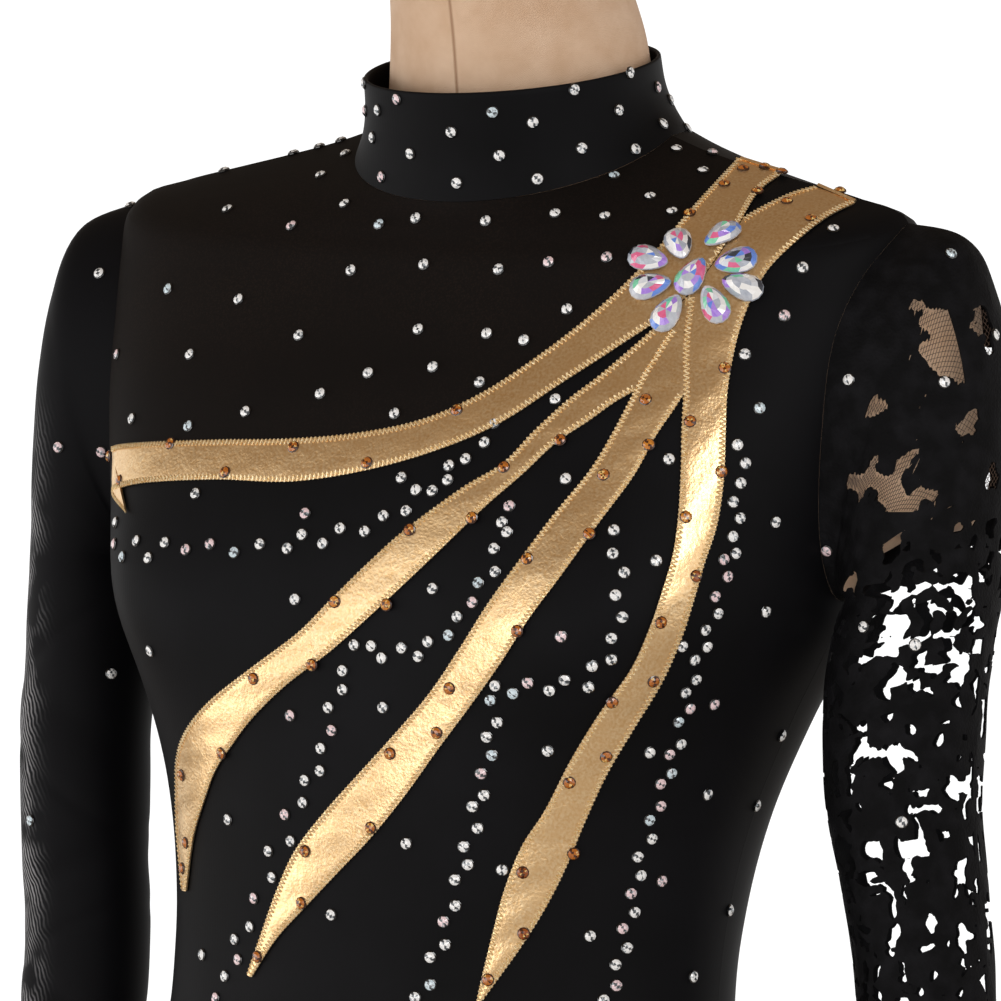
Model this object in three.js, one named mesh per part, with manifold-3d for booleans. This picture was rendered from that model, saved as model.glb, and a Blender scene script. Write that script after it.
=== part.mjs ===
// A long-sleeved, high-necked figure skating dress in black stretch cloth, worn by a limbless dress form on its stand.
// Millimetres, +Z up. The dress faces -Y and its own left side is +X. The origin is on the floor, under the stand's pole.
import * as THREE from "three";
import Module from "manifold-3d";
import { mergeVertices } from "three/addons/utils/BufferGeometryUtils.js";

const wasm = await Module();
wasm.setup();

// Driving sizes of the cloth.
const CLOTH = 1.2; // wall of the stretch cloth, mesh and lace
const COLLAR_CLOTH = 1.8; // the collar is folded double
const SEAM = 0.3; // gap between neighbouring pieces
const FORM_CLEAR = 1.5; // air between the cloth and the dress form
const GOLD_LIFT = 0.4; // the gold rays lie this far above the panel
const GOLD_CLOTH = 1.0;

// The front of the garment is read in a three-quarter view: a camera stands this far off, turned to the dress's left.
const VIEW = {
  turn: THREE.MathUtils.degToRad(29),
  roll: THREE.MathUtils.degToRad(3),
  distance: 2800,
  height: 1260,
  aside: 10, // the view's centre line passes this far to the right of the stand's axis
  mmPerPixel: 0.42,
  centrePixel: 500.5,
};

// Outer face of the dress from the leg line to the neck seam, one row per level: height at the side, half width,
// y and height of the centre front and of the centre back, y of the widest point, and squareness of the section.
const BODY = [
  { side: 775, half: 148, front: -92, frontZ: 775, back: 100, backZ: 775, middle: 4, square: 2.3 },
  { side: 835, half: 159, front: -98, frontZ: 835, back: 112, backZ: 835, middle: 4, square: 2.3 },
  { side: 895, half: 160, front: -98, frontZ: 895, back: 112, backZ: 895, middle: 4, square: 2.3 },
  { side: 955, half: 148, front: -94, frontZ: 955, back: 98, backZ: 955, middle: 3, square: 2.2 },
  { side: 1010, half: 132, front: -87, frontZ: 1010, back: 86, backZ: 1010, middle: 1, square: 2.1 },
  { side: 1053, half: 126, front: -83, frontZ: 1053, back: 83, backZ: 1053, middle: 0, square: 2.1 },
  { side: 1095, half: 127, front: -88, frontZ: 1095, back: 90, backZ: 1095, middle: 3, square: 2.1 },
  { side: 1135, half: 133, front: -93, frontZ: 1135, back: 96, backZ: 1135, middle: 8, square: 2.2 },
  { side: 1175, half: 146, front: -97, frontZ: 1175, back: 105, backZ: 1175, middle: 13, square: 2.3 },
  { side: 1215, half: 162, front: -98, frontZ: 1215, back: 111, backZ: 1215, middle: 17, square: 2.4 },
  { side: 1255, half: 170, front: -93, frontZ: 1255, back: 115, backZ: 1255, middle: 18, square: 2.5 },
  { side: 1295, half: 177, front: -80, frontZ: 1294, back: 116, backZ: 1295, middle: 18, square: 2.6 },
  { side: 1332, half: 182, front: -65, frontZ: 1325, back: 114, backZ: 1332, middle: 18, square: 2.5 },
  { side: 1363, half: 185, front: -56, frontZ: 1346, back: 110, backZ: 1359, middle: 18, square: 2.3 },
  { side: 1384, half: 184, front: -51, frontZ: 1359, back: 106, backZ: 1377, middle: 18, square: 2.1 },
  { side: 1392, half: 161, front: -47, frontZ: 1366, back: 102, backZ: 1389, middle: 17, square: 2.0 },
  { side: 1398, half: 136, front: -44.5, frontZ: 1371, back: 98, backZ: 1400, middle: 17, square: 2.0 },
  { side: 1404, half: 111, front: -42.5, frontZ: 1375, back: 94, backZ: 1410, middle: 18, square: 2.0 },
  { side: 1410, half: 89, front: -41, frontZ: 1379, back: 89, backZ: 1419, middle: 20, square: 2.0 },
  { side: 1416, half: 72, front: -40, frontZ: 1382.5, back: 84, backZ: 1427, middle: 22, square: 2.0 },
];
const BUST = { height: 1212, spread: 44, turn: 38, width: 21, fullness: 13 };
const COLLAR = [
  { side: 1416.6, half: 72, front: -40.3, frontZ: 1383.1, back: 84, backZ: 1427.6, middle: 22, square: 2.0 },
  { side: 1424, half: 66.5, front: -43.5, frontZ: 1398, back: 81.5, backZ: 1437, middle: 19, square: 2.0 },
  { side: 1433, half: 63, front: -48, frontZ: 1412, back: 78.5, backZ: 1447, middle: 15, square: 2.0 },
  { side: 1443, half: 62, front: -52, frontZ: 1426, back: 75, backZ: 1459, middle: 11, square: 2.0 },
];
const NECK = [
  { side: 1430, half: 57, front: -33, frontZ: 1409.4, back: 71, backZ: 1450.6, middle: 20, square: 2.0 },
  { side: 1450, half: 54.5, front: -35, frontZ: 1428.7, back: 65, backZ: 1471.3, middle: 15, square: 2.0 },
  { side: 1474, half: 50.5, front: -41.5, frontZ: 1454.3, back: 51.5, backZ: 1493.7, middle: 5, square: 2.0 },
  { side: 1500, half: 48.5, front: -50.6, frontZ: 1481, back: 38.6, backZ: 1519, middle: -6, square: 2.0 },
];

// The armhole is an ellipse seen from the side, and the sleeve turns down about the armpit at its lower end.
const ARMHOLE = { y: 18, height: 1304, halfDeep: 40, halfHigh: 78 };
const ARMPIT = { x: 167, height: 1226 };
// Sleeve heads, one row per fan plane about the armpit: lift of the plane in degrees, and the cloth's nearest and
// farthest distance from the armpit in that plane, and its half depth.
const LEFT_HEAD = [
  { lift: 74, near: 0.6, far: 157, deep: 40.5 },
  { lift: 67, near: 1.1, far: 142, deep: 41.5 },
  { lift: 58, near: 1.6, far: 119, deep: 42 },
  { lift: 46, near: 2.1, far: 95, deep: 41.5 },
  { lift: 31, near: 2.6, far: 77, deep: 40.5 },
  { lift: 15, near: 3.1, far: 67.5, deep: 39.5 },
];
const RIGHT_HEAD = [
  { lift: 74, near: 0.6, far: 152, deep: 40.5 },
  { lift: 67, near: 1.1, far: 132.5, deep: 41 },
  { lift: 58, near: 1.6, far: 106.5, deep: 40.5 },
  { lift: 46, near: 2.1, far: 83, deep: 39.5 },
  { lift: 31, near: 2.6, far: 67.7, deep: 38 },
  { lift: 15, near: 3.1, far: 59.5, deep: 36.7 },
];
// Sleeve below the armpit, one row per level: height, middle from the centre line, half width and half depth.
const LEFT_SLEEVE = [
  { height: 1226, x: 200.7, y: 17.5, half: 30.4, deep: 38.5 },
  { height: 1200, x: 197.5, y: 14.5, half: 33, deep: 36.5 },
  { height: 1150, x: 199, y: 12, half: 32, deep: 34 },
  { height: 1100, x: 208.5, y: 13, half: 29.5, deep: 31 },
  { height: 1050, x: 216, y: 13, half: 28, deep: 29 },
  { height: 990, x: 222, y: 12, half: 27, deep: 28 },
  { height: 920, x: 228, y: 10, half: 25.5, deep: 26.5 },
  { height: 850, x: 233, y: 8, half: 24, deep: 25 },
  { height: 785, x: 239, y: 6, half: 23, deep: 24 },
];
const RIGHT_SLEEVE = [
  { height: 1226, x: 197.3, y: 17.5, half: 27, deep: 35.8 },
  { height: 1200, x: 195.7, y: 15, half: 28.3, deep: 33 },
  { height: 1150, x: 196, y: 13, half: 28.5, deep: 30 },
  { height: 1100, x: 193, y: 13, half: 28, deep: 28 },
  { height: 1050, x: 190.5, y: 14, half: 28, deep: 27 },
  { height: 990, x: 192, y: 13, half: 27, deep: 27 },
  { height: 920, x: 201, y: 11, half: 25.5, deep: 26 },
  { height: 850, x: 215, y: 8, half: 24, deep: 25 },
  { height: 785, x: 230, y: 6, half: 23, deep: 24 },
];
// Soft folds of the mesh sleeve: where each crosses the sleeve, how far it spreads along it, its slant and its depth.
const SLEEVE_FOLDS = [
  { height: 1165, spread: 13, slant: 16, depth: 1.6 },
  { height: 1085, spread: 11, slant: -14, depth: 1.9 },
  { height: 1040, spread: 10, slant: 18, depth: 2.2 },
  { height: 960, spread: 12, slant: -15, depth: 1.8 },
  { height: 880, spread: 10, slant: 12, depth: 1.5 },
  { height: 812, spread: 9, slant: -10, depth: 1.4 },
];

// Skirt, one row per level: height, distance out from the hips, and depth of its waves.
const SKIRT = [
  { height: 962, out: 2.2, wave: 0 },
  { height: 930, out: 7, wave: 1.5 },
  { height: 885, out: 15, wave: 4 },
  { height: 838, out: 22, wave: 6 },
  { height: 790, out: 31, wave: 9.5 },
  { height: 738, out: 45, wave: 14 },
];
const SKIRT_WAVES = 12;
const LEG_LINE = { centre: 782, rise: 96 }; // lowest at the centre front and back, highest at the hips

// The gold rays, read off the three-quarter view: each row holds one point of a ray's first edge and one of its second.
const UPPER_RAY = [
  { x1: 126, y1: 445, x2: 130, y2: 486 },
  { x1: 158, y1: 443, x2: 162, y2: 482 },
  { x1: 220, y1: 441, x2: 222, y2: 480 },
  { x1: 290, y1: 440, x2: 292, y2: 482 },
  { x1: 360, y1: 434, x2: 366, y2: 471 },
  { x1: 425, y1: 420, x2: 437, y2: 451 },
  { x1: 485, y1: 393, x2: 500, y2: 424 },
  { x1: 545, y1: 353, x2: 562, y2: 384 },
  { x1: 600, y1: 309, x2: 622, y2: 345 },
  { x1: 648, y1: 262, x2: 682, y2: 302 },
  { x1: 690, y1: 213, x2: 731, y2: 238 },
  { x1: 722, y1: 178, x2: 758, y2: 194 },
  { x1: 743, y1: 156, x2: 786, y2: 173 },
];
const SECOND_RAY = [
  { x1: 690, y1: 296, x2: 706, y2: 350 },
  { x1: 645, y1: 338, x2: 668, y2: 374 },
  { x1: 600, y1: 377, x2: 620, y2: 400 },
  { x1: 570, y1: 400, x2: 590, y2: 421 },
  { x1: 535, y1: 432, x2: 556, y2: 444 },
  { x1: 504, y1: 464, x2: 524, y2: 474 },
  { x1: 463, y1: 489, x2: 486, y2: 507 },
  { x1: 407, y1: 530, x2: 437, y2: 554 },
  { x1: 371, y1: 562, x2: 400, y2: 589 },
  { x1: 333, y1: 599, x2: 362, y2: 624 },
  { x1: 299, y1: 633, x2: 330, y2: 652 },
  { x1: 251, y1: 669, x2: 288, y2: 684 },
  { x1: 212, y1: 700, x2: 255, y2: 716 },
  { x1: 189, y1: 728, x2: 233, y2: 745 },
  { x1: 179, y1: 756, x2: 217, y2: 770 },
  { x1: 178, y1: 792, x2: 205, y2: 803 },
  { x1: 179, y1: 830, x2: 195, y2: 838 },
  { x1: 184, y1: 890, x2: 188, y2: 891 },
];
const THIRD_RAY = [
  { x1: 672, y1: 330, x2: 714, y2: 345 },
  { x1: 645, y1: 372, x2: 694, y2: 378 },
  { x1: 631, y1: 400, x2: 676, y2: 407 },
  { x1: 612, y1: 436, x2: 655, y2: 438 },
  { x1: 590, y1: 472, x2: 634, y2: 476 },
  { x1: 555, y1: 515, x2: 598, y2: 525 },
  { x1: 519, y1: 563, x2: 560, y2: 578 },
  { x1: 490, y1: 603, x2: 530, y2: 618 },
  { x1: 460, y1: 650, x2: 503, y2: 660 },
  { x1: 430, y1: 694, x2: 472, y2: 704 },
  { x1: 395, y1: 735, x2: 440, y2: 747 },
  { x1: 358, y1: 776, x2: 405, y2: 796 },
  { x1: 325, y1: 813, x2: 371, y2: 838 },
  { x1: 297, y1: 850, x2: 338, y2: 873 },
  { x1: 279, y1: 889, x2: 308, y2: 905 },
  { x1: 265, y1: 928, x2: 278, y2: 938 },
  { x1: 249, y1: 974, x2: 253, y2: 977 },
];
const FOURTH_RAY = [
  { x1: 814, y1: 189, x2: 854, y2: 205 },
  { x1: 785, y1: 198, x2: 822, y2: 222 },
  { x1: 738, y1: 224, x2: 777, y2: 260 },
  { x1: 700, y1: 262, x2: 757, y2: 288 },
  { x1: 688, y1: 310, x2: 743, y2: 320 },
  { x1: 684, y1: 350, x2: 734, y2: 352 },
  { x1: 684, y1: 391, x2: 727, y2: 393 },
  { x1: 682, y1: 430, x2: 725, y2: 434 },
  { x1: 681, y1: 470, x2: 723, y2: 478 },
  { x1: 678, y1: 516, x2: 716, y2: 524 },
  { x1: 672, y1: 556, x2: 703, y2: 564 },
  { x1: 660, y1: 596, x2: 693, y2: 598 },
  { x1: 648, y1: 630, x2: 680, y2: 638 },
  { x1: 630, y1: 669, x2: 661, y2: 681 },
  { x1: 599, y1: 713, x2: 634, y2: 726 },
  { x1: 571, y1: 759, x2: 607, y2: 772 },
  { x1: 545, y1: 810, x2: 585, y2: 820 },
  { x1: 522, y1: 846, x2: 566, y2: 866 },
  { x1: 505, y1: 889, x2: 545, y2: 908 },
  { x1: 494, y1: 930, x2: 520, y2: 948 },
  { x1: 484, y1: 971, x2: 495, y2: 983 },
  { x1: 477, y1: 1003, x2: 480, y2: 1004 },
];

// The flower of drop-shaped crystals: middle of each stone in the view, and the way its round end points, in degrees
// from the view's right, turning up. One stone sits lower, half on the mesh beside the gold.
const DROP = { length: 18, width: 13, height: 5 };
const FLOWER = [
  { name: "crystal_centre", x: 693, y: 279, turn: -115 },
  { name: "crystal_petal_1", x: 650, y: 262, turn: 160 },
  { name: "crystal_petal_2", x: 680, y: 248, turn: 110, sink: 0.5 },
  { name: "crystal_petal_3", x: 723, y: 240, turn: 60 },
  { name: "crystal_petal_4", x: 737, y: 264, turn: 15 },
  { name: "crystal_petal_5", x: 743, y: 289, turn: -20 },
  { name: "crystal_petal_6", x: 715, y: 307, turn: -62 },
  { name: "crystal_petal_7", x: 669, y: 316, turn: -115 },
  { name: "crystal_petal_8", x: 652, y: 289, turn: -170 },
];

// The dress form's stand.
const FORM_FOOT = 762; // flat underside of the torso
const POLE_RADIUS = 14;
const BASE = { radius: 170, thickness: 12 };

const rad = THREE.MathUtils.degToRad;

// Smooth value of one column of a table at a fractional row.
function column(rows, name, at) {
  const i = Math.min(Math.max(Math.floor(at), 0), rows.length - 2);
  const f = at - i;
  const v = (k) => rows[Math.min(Math.max(k, 0), rows.length - 1)][name];
  const [a, b, c, d] = [v(i - 1), v(i), v(i + 1), v(i + 2)];
  return b + 0.5 * f * (c - a + f * (2 * a - 5 * b + 4 * c - d + f * (3 * (b - c) + d - a)));
}

// The fractional row at which a rising or falling column reaches a value.
function rowAt(rows, name, value) {
  const rising = rows.at(-1)[name] > rows[0][name];
  let low = 0;
  let high = rows.length - 1;
  for (let k = 0; k < 40; k++) {
    const mid = (low + high) / 2;
    if (column(rows, name, mid) < value === rising) low = mid;
    else high = mid;
  }
  return (low + high) / 2;
}

// A point of a table's section: turn in degrees from the centre front, positive to the dress's left.
function sectionPoint(rows, turn, at) {
  const get = (name) => column(rows, name, at);
  const power = 2 / get("square");
  const s = Math.sin(rad(turn));
  const c = Math.cos(rad(turn));
  const end = c > 0 ? "front" : "back";
  const share = Math.abs(c) ** power;
  const middle = get("middle");
  const side = get("side");
  const x = get("half") * Math.sign(s) * Math.abs(s) ** power;
  const y = middle + (get(end) - middle) * share;
  const z = side + (get(end + "Z") - side) * share;
  return new THREE.Vector3(x, y, z);
}

// The dress's outer face, with the fullness that the bust darts give the front.
function bodyPoint(turn, at) {
  const p = sectionPoint(BODY, turn, at);
  const away = (Math.abs(turn) - BUST.turn) / BUST.width;
  const up = (p.z - BUST.height) / BUST.spread;
  const full = BUST.fullness * Math.exp(-away * away - up * up);
  return p.add(new THREE.Vector3(Math.sin(rad(turn)) * 0.35, -1, 0).multiplyScalar(full));
}

// Outward normal of the dress's outer face.
function bodyNormal(turn, at) {
  const step = 0.02;
  const around = bodyPoint(turn + 1, at).sub(bodyPoint(turn - 1, at));
  const high = Math.min(at + step, BODY.length - 1);
  const up = bodyPoint(turn, high).sub(bodyPoint(turn, high - 2 * step));
  return around.cross(up).normalize();
}

// Half the turn that a front or back panel covers at a level: it stops at the armhole's edge.
function panelTurn(at, end) {
  const up = (column(BODY, "side", at) - ARMHOLE.height) / ARMHOLE.halfHigh;
  if (Math.abs(up) >= 1) return 90;
  const deep = Math.abs(column(BODY, end, at) - column(BODY, "middle", at));
  const share = (ARMHOLE.halfDeep * Math.sqrt(1 - up * up)) / deep;
  return THREE.MathUtils.radToDeg(Math.acos(share ** (column(BODY, "square", at) / 2)));
}

// Front panels use across from -1 at the right edge to 1 at the left one.
const frontTurn = (across, at) => across * panelTurn(at, "front");
const frontPoint = (across, at) => bodyPoint(frontTurn(across, at), at);
const backTurn = (across, at) => 180 - across * panelTurn(at, "back");

// Where a point shows in the three-quarter view, in pixels.
const eye = new THREE.Vector3(
  VIEW.distance * Math.sin(VIEW.turn) + VIEW.aside * Math.cos(VIEW.turn),
  -VIEW.distance * Math.cos(VIEW.turn) + VIEW.aside * Math.sin(VIEW.turn),
  VIEW.height,
);
function seen(p) {
  const d = p.clone().sub(eye);
  const depth = -d.x * Math.sin(VIEW.turn) + d.y * Math.cos(VIEW.turn);
  const scale = VIEW.distance / depth / VIEW.mmPerPixel;
  const right = (d.x * Math.cos(VIEW.turn) + d.y * Math.sin(VIEW.turn)) * scale;
  const down = -d.z * scale;
  return {
    x: VIEW.centrePixel + right * Math.cos(VIEW.roll) - down * Math.sin(VIEW.roll),
    y: VIEW.centrePixel + right * Math.sin(VIEW.roll) + down * Math.cos(VIEW.roll),
  };
}

// The place on the front panels that shows at a pixel: the nearest of a net of tries, then a few Newton steps.
const NECK_ROW = BODY.length - 1;
const tries = [];
for (let i = -40; i <= 40; i++)
  for (let j = 30; j <= 95; j++) {
    const [across, at] = [i / 40, (j / 95) * NECK_ROW];
    tries.push({ across, at, ...seen(frontPoint(across, at)) });
  }
function onFront(x, y) {
  const gap = (t) => (t.x - x) ** 2 + (t.y - y) ** 2;
  let best = tries.reduce((a, b) => (gap(b) < gap(a) ? b : a));
  for (let k = 0; k < 6; k++) {
    const [h, g] = [0.01, 0.02];
    const here = seen(frontPoint(best.across, best.at));
    const a = seen(frontPoint(best.across + h, best.at));
    const b = seen(frontPoint(best.across, Math.min(best.at + g, NECK_ROW)));
    const [ax, ay] = [(a.x - here.x) / h, (a.y - here.y) / h];
    const [bx, by] = [(b.x - here.x) / g, (b.y - here.y) / g];
    const det = ax * by - ay * bx;
    if (Math.abs(det) < 50) break;
    const [ex, ey] = [x - here.x, y - here.y];
    const across = THREE.MathUtils.clamp(best.across + (ex * by - ey * bx) / det, -1, 1);
    const at = THREE.MathUtils.clamp(best.at + (ax * ey - ay * ex) / det, 2, NECK_ROW - 0.001);
    const next = { across, at, ...seen(frontPoint(across, at)) };
    if (gap(next) > gap(best) + 1e-6) break;
    best = next;
  }
  return best;
}

// A closed wall between two nets of points [column][row]. A looped wall joins its last column to its first.
function wall(outer, inner, looped) {
  const columns = outer.length;
  const rows = outer[0].length;
  const points = [...outer.flat(), ...inner.flat()];
  const id = (layer, i, j) => layer * columns * rows + (i % columns) * rows + j;
  const triangles = [];
  const quad = (a, b, c, d) => triangles.push(a, b, c, a, c, d);
  const spans = looped ? columns : columns - 1;
  for (let i = 0; i < spans; i++) {
    for (let j = 0; j < rows - 1; j++) {
      quad(id(0, i, j), id(0, i + 1, j), id(0, i + 1, j + 1), id(0, i, j + 1));
      quad(id(1, i, j), id(1, i, j + 1), id(1, i + 1, j + 1), id(1, i + 1, j));
    }
    quad(id(0, i, 0), id(1, i, 0), id(1, i + 1, 0), id(0, i + 1, 0));
    quad(id(0, i, rows - 1), id(0, i + 1, rows - 1), id(1, i + 1, rows - 1), id(1, i, rows - 1));
  }
  if (!looped)
    for (let j = 0; j < rows - 1; j++) {
      const e = columns - 1;
      quad(id(0, 0, j), id(0, 0, j + 1), id(1, 0, j + 1), id(1, 0, j));
      quad(id(0, e, j), id(1, e, j), id(1, e, j + 1), id(0, e, j + 1));
    }
  return solid(points, triangles);
}

// Volume of a triangle list, to turn the faces of a mirrored piece outwards.
function signedVolume(points, triangles) {
  let six = 0;
  for (let i = 0; i < triangles.length; i += 3) {
    const [a, b, c] = [0, 1, 2].map((k) => points[triangles[i + k]]);
    six += a.dot(b.clone().cross(c));
  }
  return six / 6;
}

function solid(points, triangles) {
  const list = [...triangles];
  if (signedVolume(points, list) < 0)
    for (let i = 0; i < list.length; i += 3) [list[i + 1], list[i + 2]] = [list[i + 2], list[i + 1]];
  const geometry = new THREE.BufferGeometry().setFromPoints(points);
  return geometry.setIndex(list);
}

// A loft through rings of points, closed by a flat end at each side.
function loft(rings) {
  const around = rings[0].length;
  const points = rings.flat();
  const triangles = [];
  for (let j = 0; j < rings.length - 1; j++)
    for (let i = 0; i < around; i++) {
      const [a, b] = [j * around + i, j * around + ((i + 1) % around)];
      triangles.push(a, b, b + around, a, b + around, a + around);
    }
  for (const [ring, first] of [[0, true], [rings.length - 1, false]]) {
    const middle = points.length;
    points.push(rings[ring].reduce((s, p) => s.add(p), new THREE.Vector3()).divideScalar(around));
    for (let i = 0; i < around; i++) {
      const [a, b] = [ring * around + i, ring * around + ((i + 1) % around)];
      triangles.push(...(first ? [middle, b, a] : [middle, a, b]));
    }
  }
  return solid(points, triangles);
}

const toManifold = (geometry) => {
  const merged = mergeVertices(geometry, 1e-4);
  const vertProperties = merged.attributes.position.array;
  return new wasm.Manifold(
    new wasm.Mesh({ numProp: 3, vertProperties, triVerts: new Uint32Array(merged.index.array) }),
  );
};
function fromManifold(made) {
  const { vertProperties, triVerts } = made.getMesh();
  const geometry = new THREE.BufferGeometry();
  geometry.setAttribute("position", new THREE.BufferAttribute(new Float32Array(vertProperties), 3));
  return geometry.setIndex(new THREE.BufferAttribute(new Uint32Array(triVerts), 1));
}

// Levels of the panels.
const lerp = THREE.MathUtils.lerp;
const ARMPIT_ROW = rowAt(BODY, "side", ARMHOLE.height - ARMHOLE.halfHigh);
const TIP_ROW = rowAt(BODY, "side", ARMHOLE.height + ARMHOLE.halfHigh);
const legRow = (turn) => rowAt(BODY, "side", LEG_LINE.centre + LEG_LINE.rise * Math.sin(rad(turn)) ** 2);
const COLUMNS = 16; // of the front panels and of the back one
const acrossOf = (i) => -1 + (2 * i) / COLUMNS;

// Rows of a panel, counted up from the leg line: to the armpit, to the armhole's tip and to the neck.
const ROWS = { armpit: 7, tip: 15, neck: 20 };
const armholeRow = (angle) => rowAt(BODY, "side", ARMHOLE.height + ARMHOLE.halfHigh * Math.cos(rad(angle)));
const tipAngle = (j) => (180 * (ROWS.tip - j)) / (ROWS.tip - ROWS.armpit);
function levels(across) {
  return Array.from({ length: ROWS.neck + 1 }, (_, j) => {
    if (j <= ROWS.armpit) return lerp(legRow(across * 90), ARMPIT_ROW, j / ROWS.armpit);
    if (j < ROWS.tip) return armholeRow(tipAngle(j));
    return lerp(TIP_ROW, NECK_ROW, (j - ROWS.tip) / (ROWS.neck - ROWS.tip));
  });
}

// A net of points and normals over a panel: columns pass the dress's left to right, or right to left, rows go up.
function panelNet(turnOf, acrosses) {
  return acrosses.map((across) =>
    levels(across).map((at) => {
      const turn = turnOf(across, at);
      return { at, p: bodyPoint(turn, at), n: bodyNormal(turn, at) };
    }),
  );
}
const acrosses = Array.from({ length: COLUMNS + 1 }, (_, i) => acrossOf(i));
const frontNet = panelNet(frontTurn, acrosses);
const backNet = panelNet(backTurn, [...acrosses].reverse());

// Direction in the cloth from a point on an armhole's edge into the armhole.
function intoArmhole(p, n) {
  const d = new THREE.Vector3(Math.sign(p.x) * 172, ARMHOLE.y, ARMHOLE.height).sub(p);
  return d.addScaledVector(n, -d.dot(n)).normalize();
}
// Moves a net's edges in by half a seam: its side columns, and its first and last rows.
function seamNet(net) {
  const shift = (node, q) => node.p.clone().add(q.clone().sub(node.p).setLength(SEAM / 2));
  const [last, top] = [net.length - 1, net[0].length - 1];
  return net.map((nodes, i) =>
    nodes.map((node, j) => {
      let p = node.p.clone();
      const side = i === 0 ? 1 : i === last ? last - 1 : -1;
      const away = Math.abs(column(BODY, "side", node.at) - ARMHOLE.height) - ARMHOLE.halfHigh;
      if (side >= 0 && away > -0.01) p = shift(node, net[side][j].p);
      if (side >= 0 && away < 0.01) p.addScaledVector(intoArmhole(node.p, node.n), -SEAM / 2);
      const other = j === 0 ? 1 : j === top ? top - 1 : -1;
      if (other >= 0) p.add(nodes[other].p.clone().sub(node.p).setLength(SEAM / 2));
      return { ...node, p };
    }),
  );
}
const movedOut = (net, by) => net.map((nodes) => nodes.map(({ p, n }) => p.clone().addScaledVector(n, by)));
const panel = (net) => wall(movedOut(seamNet(net), 0), movedOut(seamNet(net), -CLOTH), false);
const bodiceBack = panel(backNet);

// A ring of points at one table level, pulled in towards its middle by a wall's thickness.
function sectionRing(rows, at, count, pull = 0) {
  const middle = new THREE.Vector3(0, column(rows, "middle", at), column(rows, "side", at));
  const ring = [];
  for (let i = 0; i < count; i++) {
    const p = sectionPoint(rows, (360 * i) / count, at);
    const inward = middle.clone().sub(p).setLength(pull);
    ring.push(pull ? p.add(inward) : p);
  }
  return ring;
}

// The collar is one folded band round the neck.
const COLLAR_SIDES = 24;
const collarLevels = [0, 0.75, 1.5, 2.25, 3];
const turnNet = (rings) => rings[0].map((_, i) => rings.map((ring) => ring[i]));
const collar = wall(
  turnNet(collarLevels.map((at) => sectionRing(COLLAR, at, COLLAR_SIDES))),
  turnNet(collarLevels.map((at) => sectionRing(COLLAR, at, COLLAR_SIDES, COLLAR_CLOTH))),
  true,
);

// Sleeves. Their columns start at the points of the panels' edges round the armhole: from the tip down the back to
// the armpit, and up the front. A column's angle is 0 at the tip, 90 at the back and 180 at the armpit.
const ARMHOLE_STEPS = ROWS.tip - ROWS.armpit;
const sleevePlaces = Array.from({ length: 2 * ARMHOLE_STEPS }, (_, k) => {
  const angle = (180 * k) / ARMHOLE_STEPS;
  return { angle: angle > 180 ? angle - 360 : angle, at: armholeRow(angle) };
});
// The armhole's edge of the dress's left: the panels' points, moved half a seam into the armhole.
function armholePoint({ angle, at }, pull) {
  const end = angle > 0 ? "back" : "front";
  const turn = angle === 0 || angle === 180 ? 90 : panelTurn(at, end);
  const around = angle > 0 && angle < 180 ? 180 - turn : turn;
  const p = bodyPoint(around, at);
  const n = bodyNormal(around, at);
  return p.clone().addScaledVector(intoArmhole(p, n), SEAM / 2).addScaledVector(n, -pull);
}
// The rings of a sleeve on the dress's left, as functions of the column and the wall's thickness.
function sleeveRings(head, rows, steps) {
  const rings = [armholePoint];
  for (const { lift, near, far, deep } of head)
    rings.push(({ angle }, pull) => {
      const out = new THREE.Vector3(Math.cos(rad(lift)), 0, Math.sin(rad(lift)));
      const half = (far - near) / 2;
      const p = new THREE.Vector3(ARMPIT.x, ARMHOLE.y, ARMPIT.height);
      p.addScaledVector(out, near + half + (half - pull) * Math.cos(rad(angle)));
      p.y += (deep - pull) * Math.sin(rad(angle));
      return p;
    });
  for (let k = 0; k <= steps; k++) {
    const at = (k / steps) * (rows.length - 1);
    const get = (name) => column(rows, name, at);
    rings.push(({ angle }, pull) => {
      const x = get("x") + (get("half") - pull) * Math.cos(rad(angle));
      const y = get("y") + (get("deep") - pull) * Math.sin(rad(angle));
      return new THREE.Vector3(x, y, get("height"));
    });
  }
  return rings;
}
const mirrored = (p) => new THREE.Vector3(-p.x, p.y, p.z);

// The right sleeve is plain mesh cloth with a few soft folds.
function foldDepth(angle, height) {
  return SLEEVE_FOLDS.reduce((sum, f) => {
    const away = (height - f.height - f.slant * Math.cos(rad(angle))) / f.spread;
    return sum + f.depth * Math.exp(-away * away) * (0.6 - 0.4 * Math.cos(rad(angle * 2)));
  }, 0);
}
const RIGHT_STEPS = 13;
const rightRings = sleeveRings(RIGHT_HEAD, RIGHT_SLEEVE, RIGHT_STEPS);
function rightSleevePoint(ring, place, pull) {
  const height = ring(place, 0).z;
  const fold = height < ARMPIT.height - 10 ? foldDepth(place.angle, height) : 0;
  return mirrored(ring(place, pull + fold));
}
const rightNet = (pull) =>
  sleevePlaces.map((place) => rightRings.map((ring) => rightSleevePoint(ring, place, pull)));
const rightSleeve = wall(rightNet(0), rightNet(CLOTH), true);

// The left sleeve is lace. Each half is a net of cells, and most cells hold one gap of the lace, of six uneven sides.
const LACE_SIDES = ARMHOLE_STEPS; // cells round each half
const LACE_STEPS = 11; // levels below the armpit
const LACE_JITTER = 0.2;
const GAP_SIDES = 6;
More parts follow.
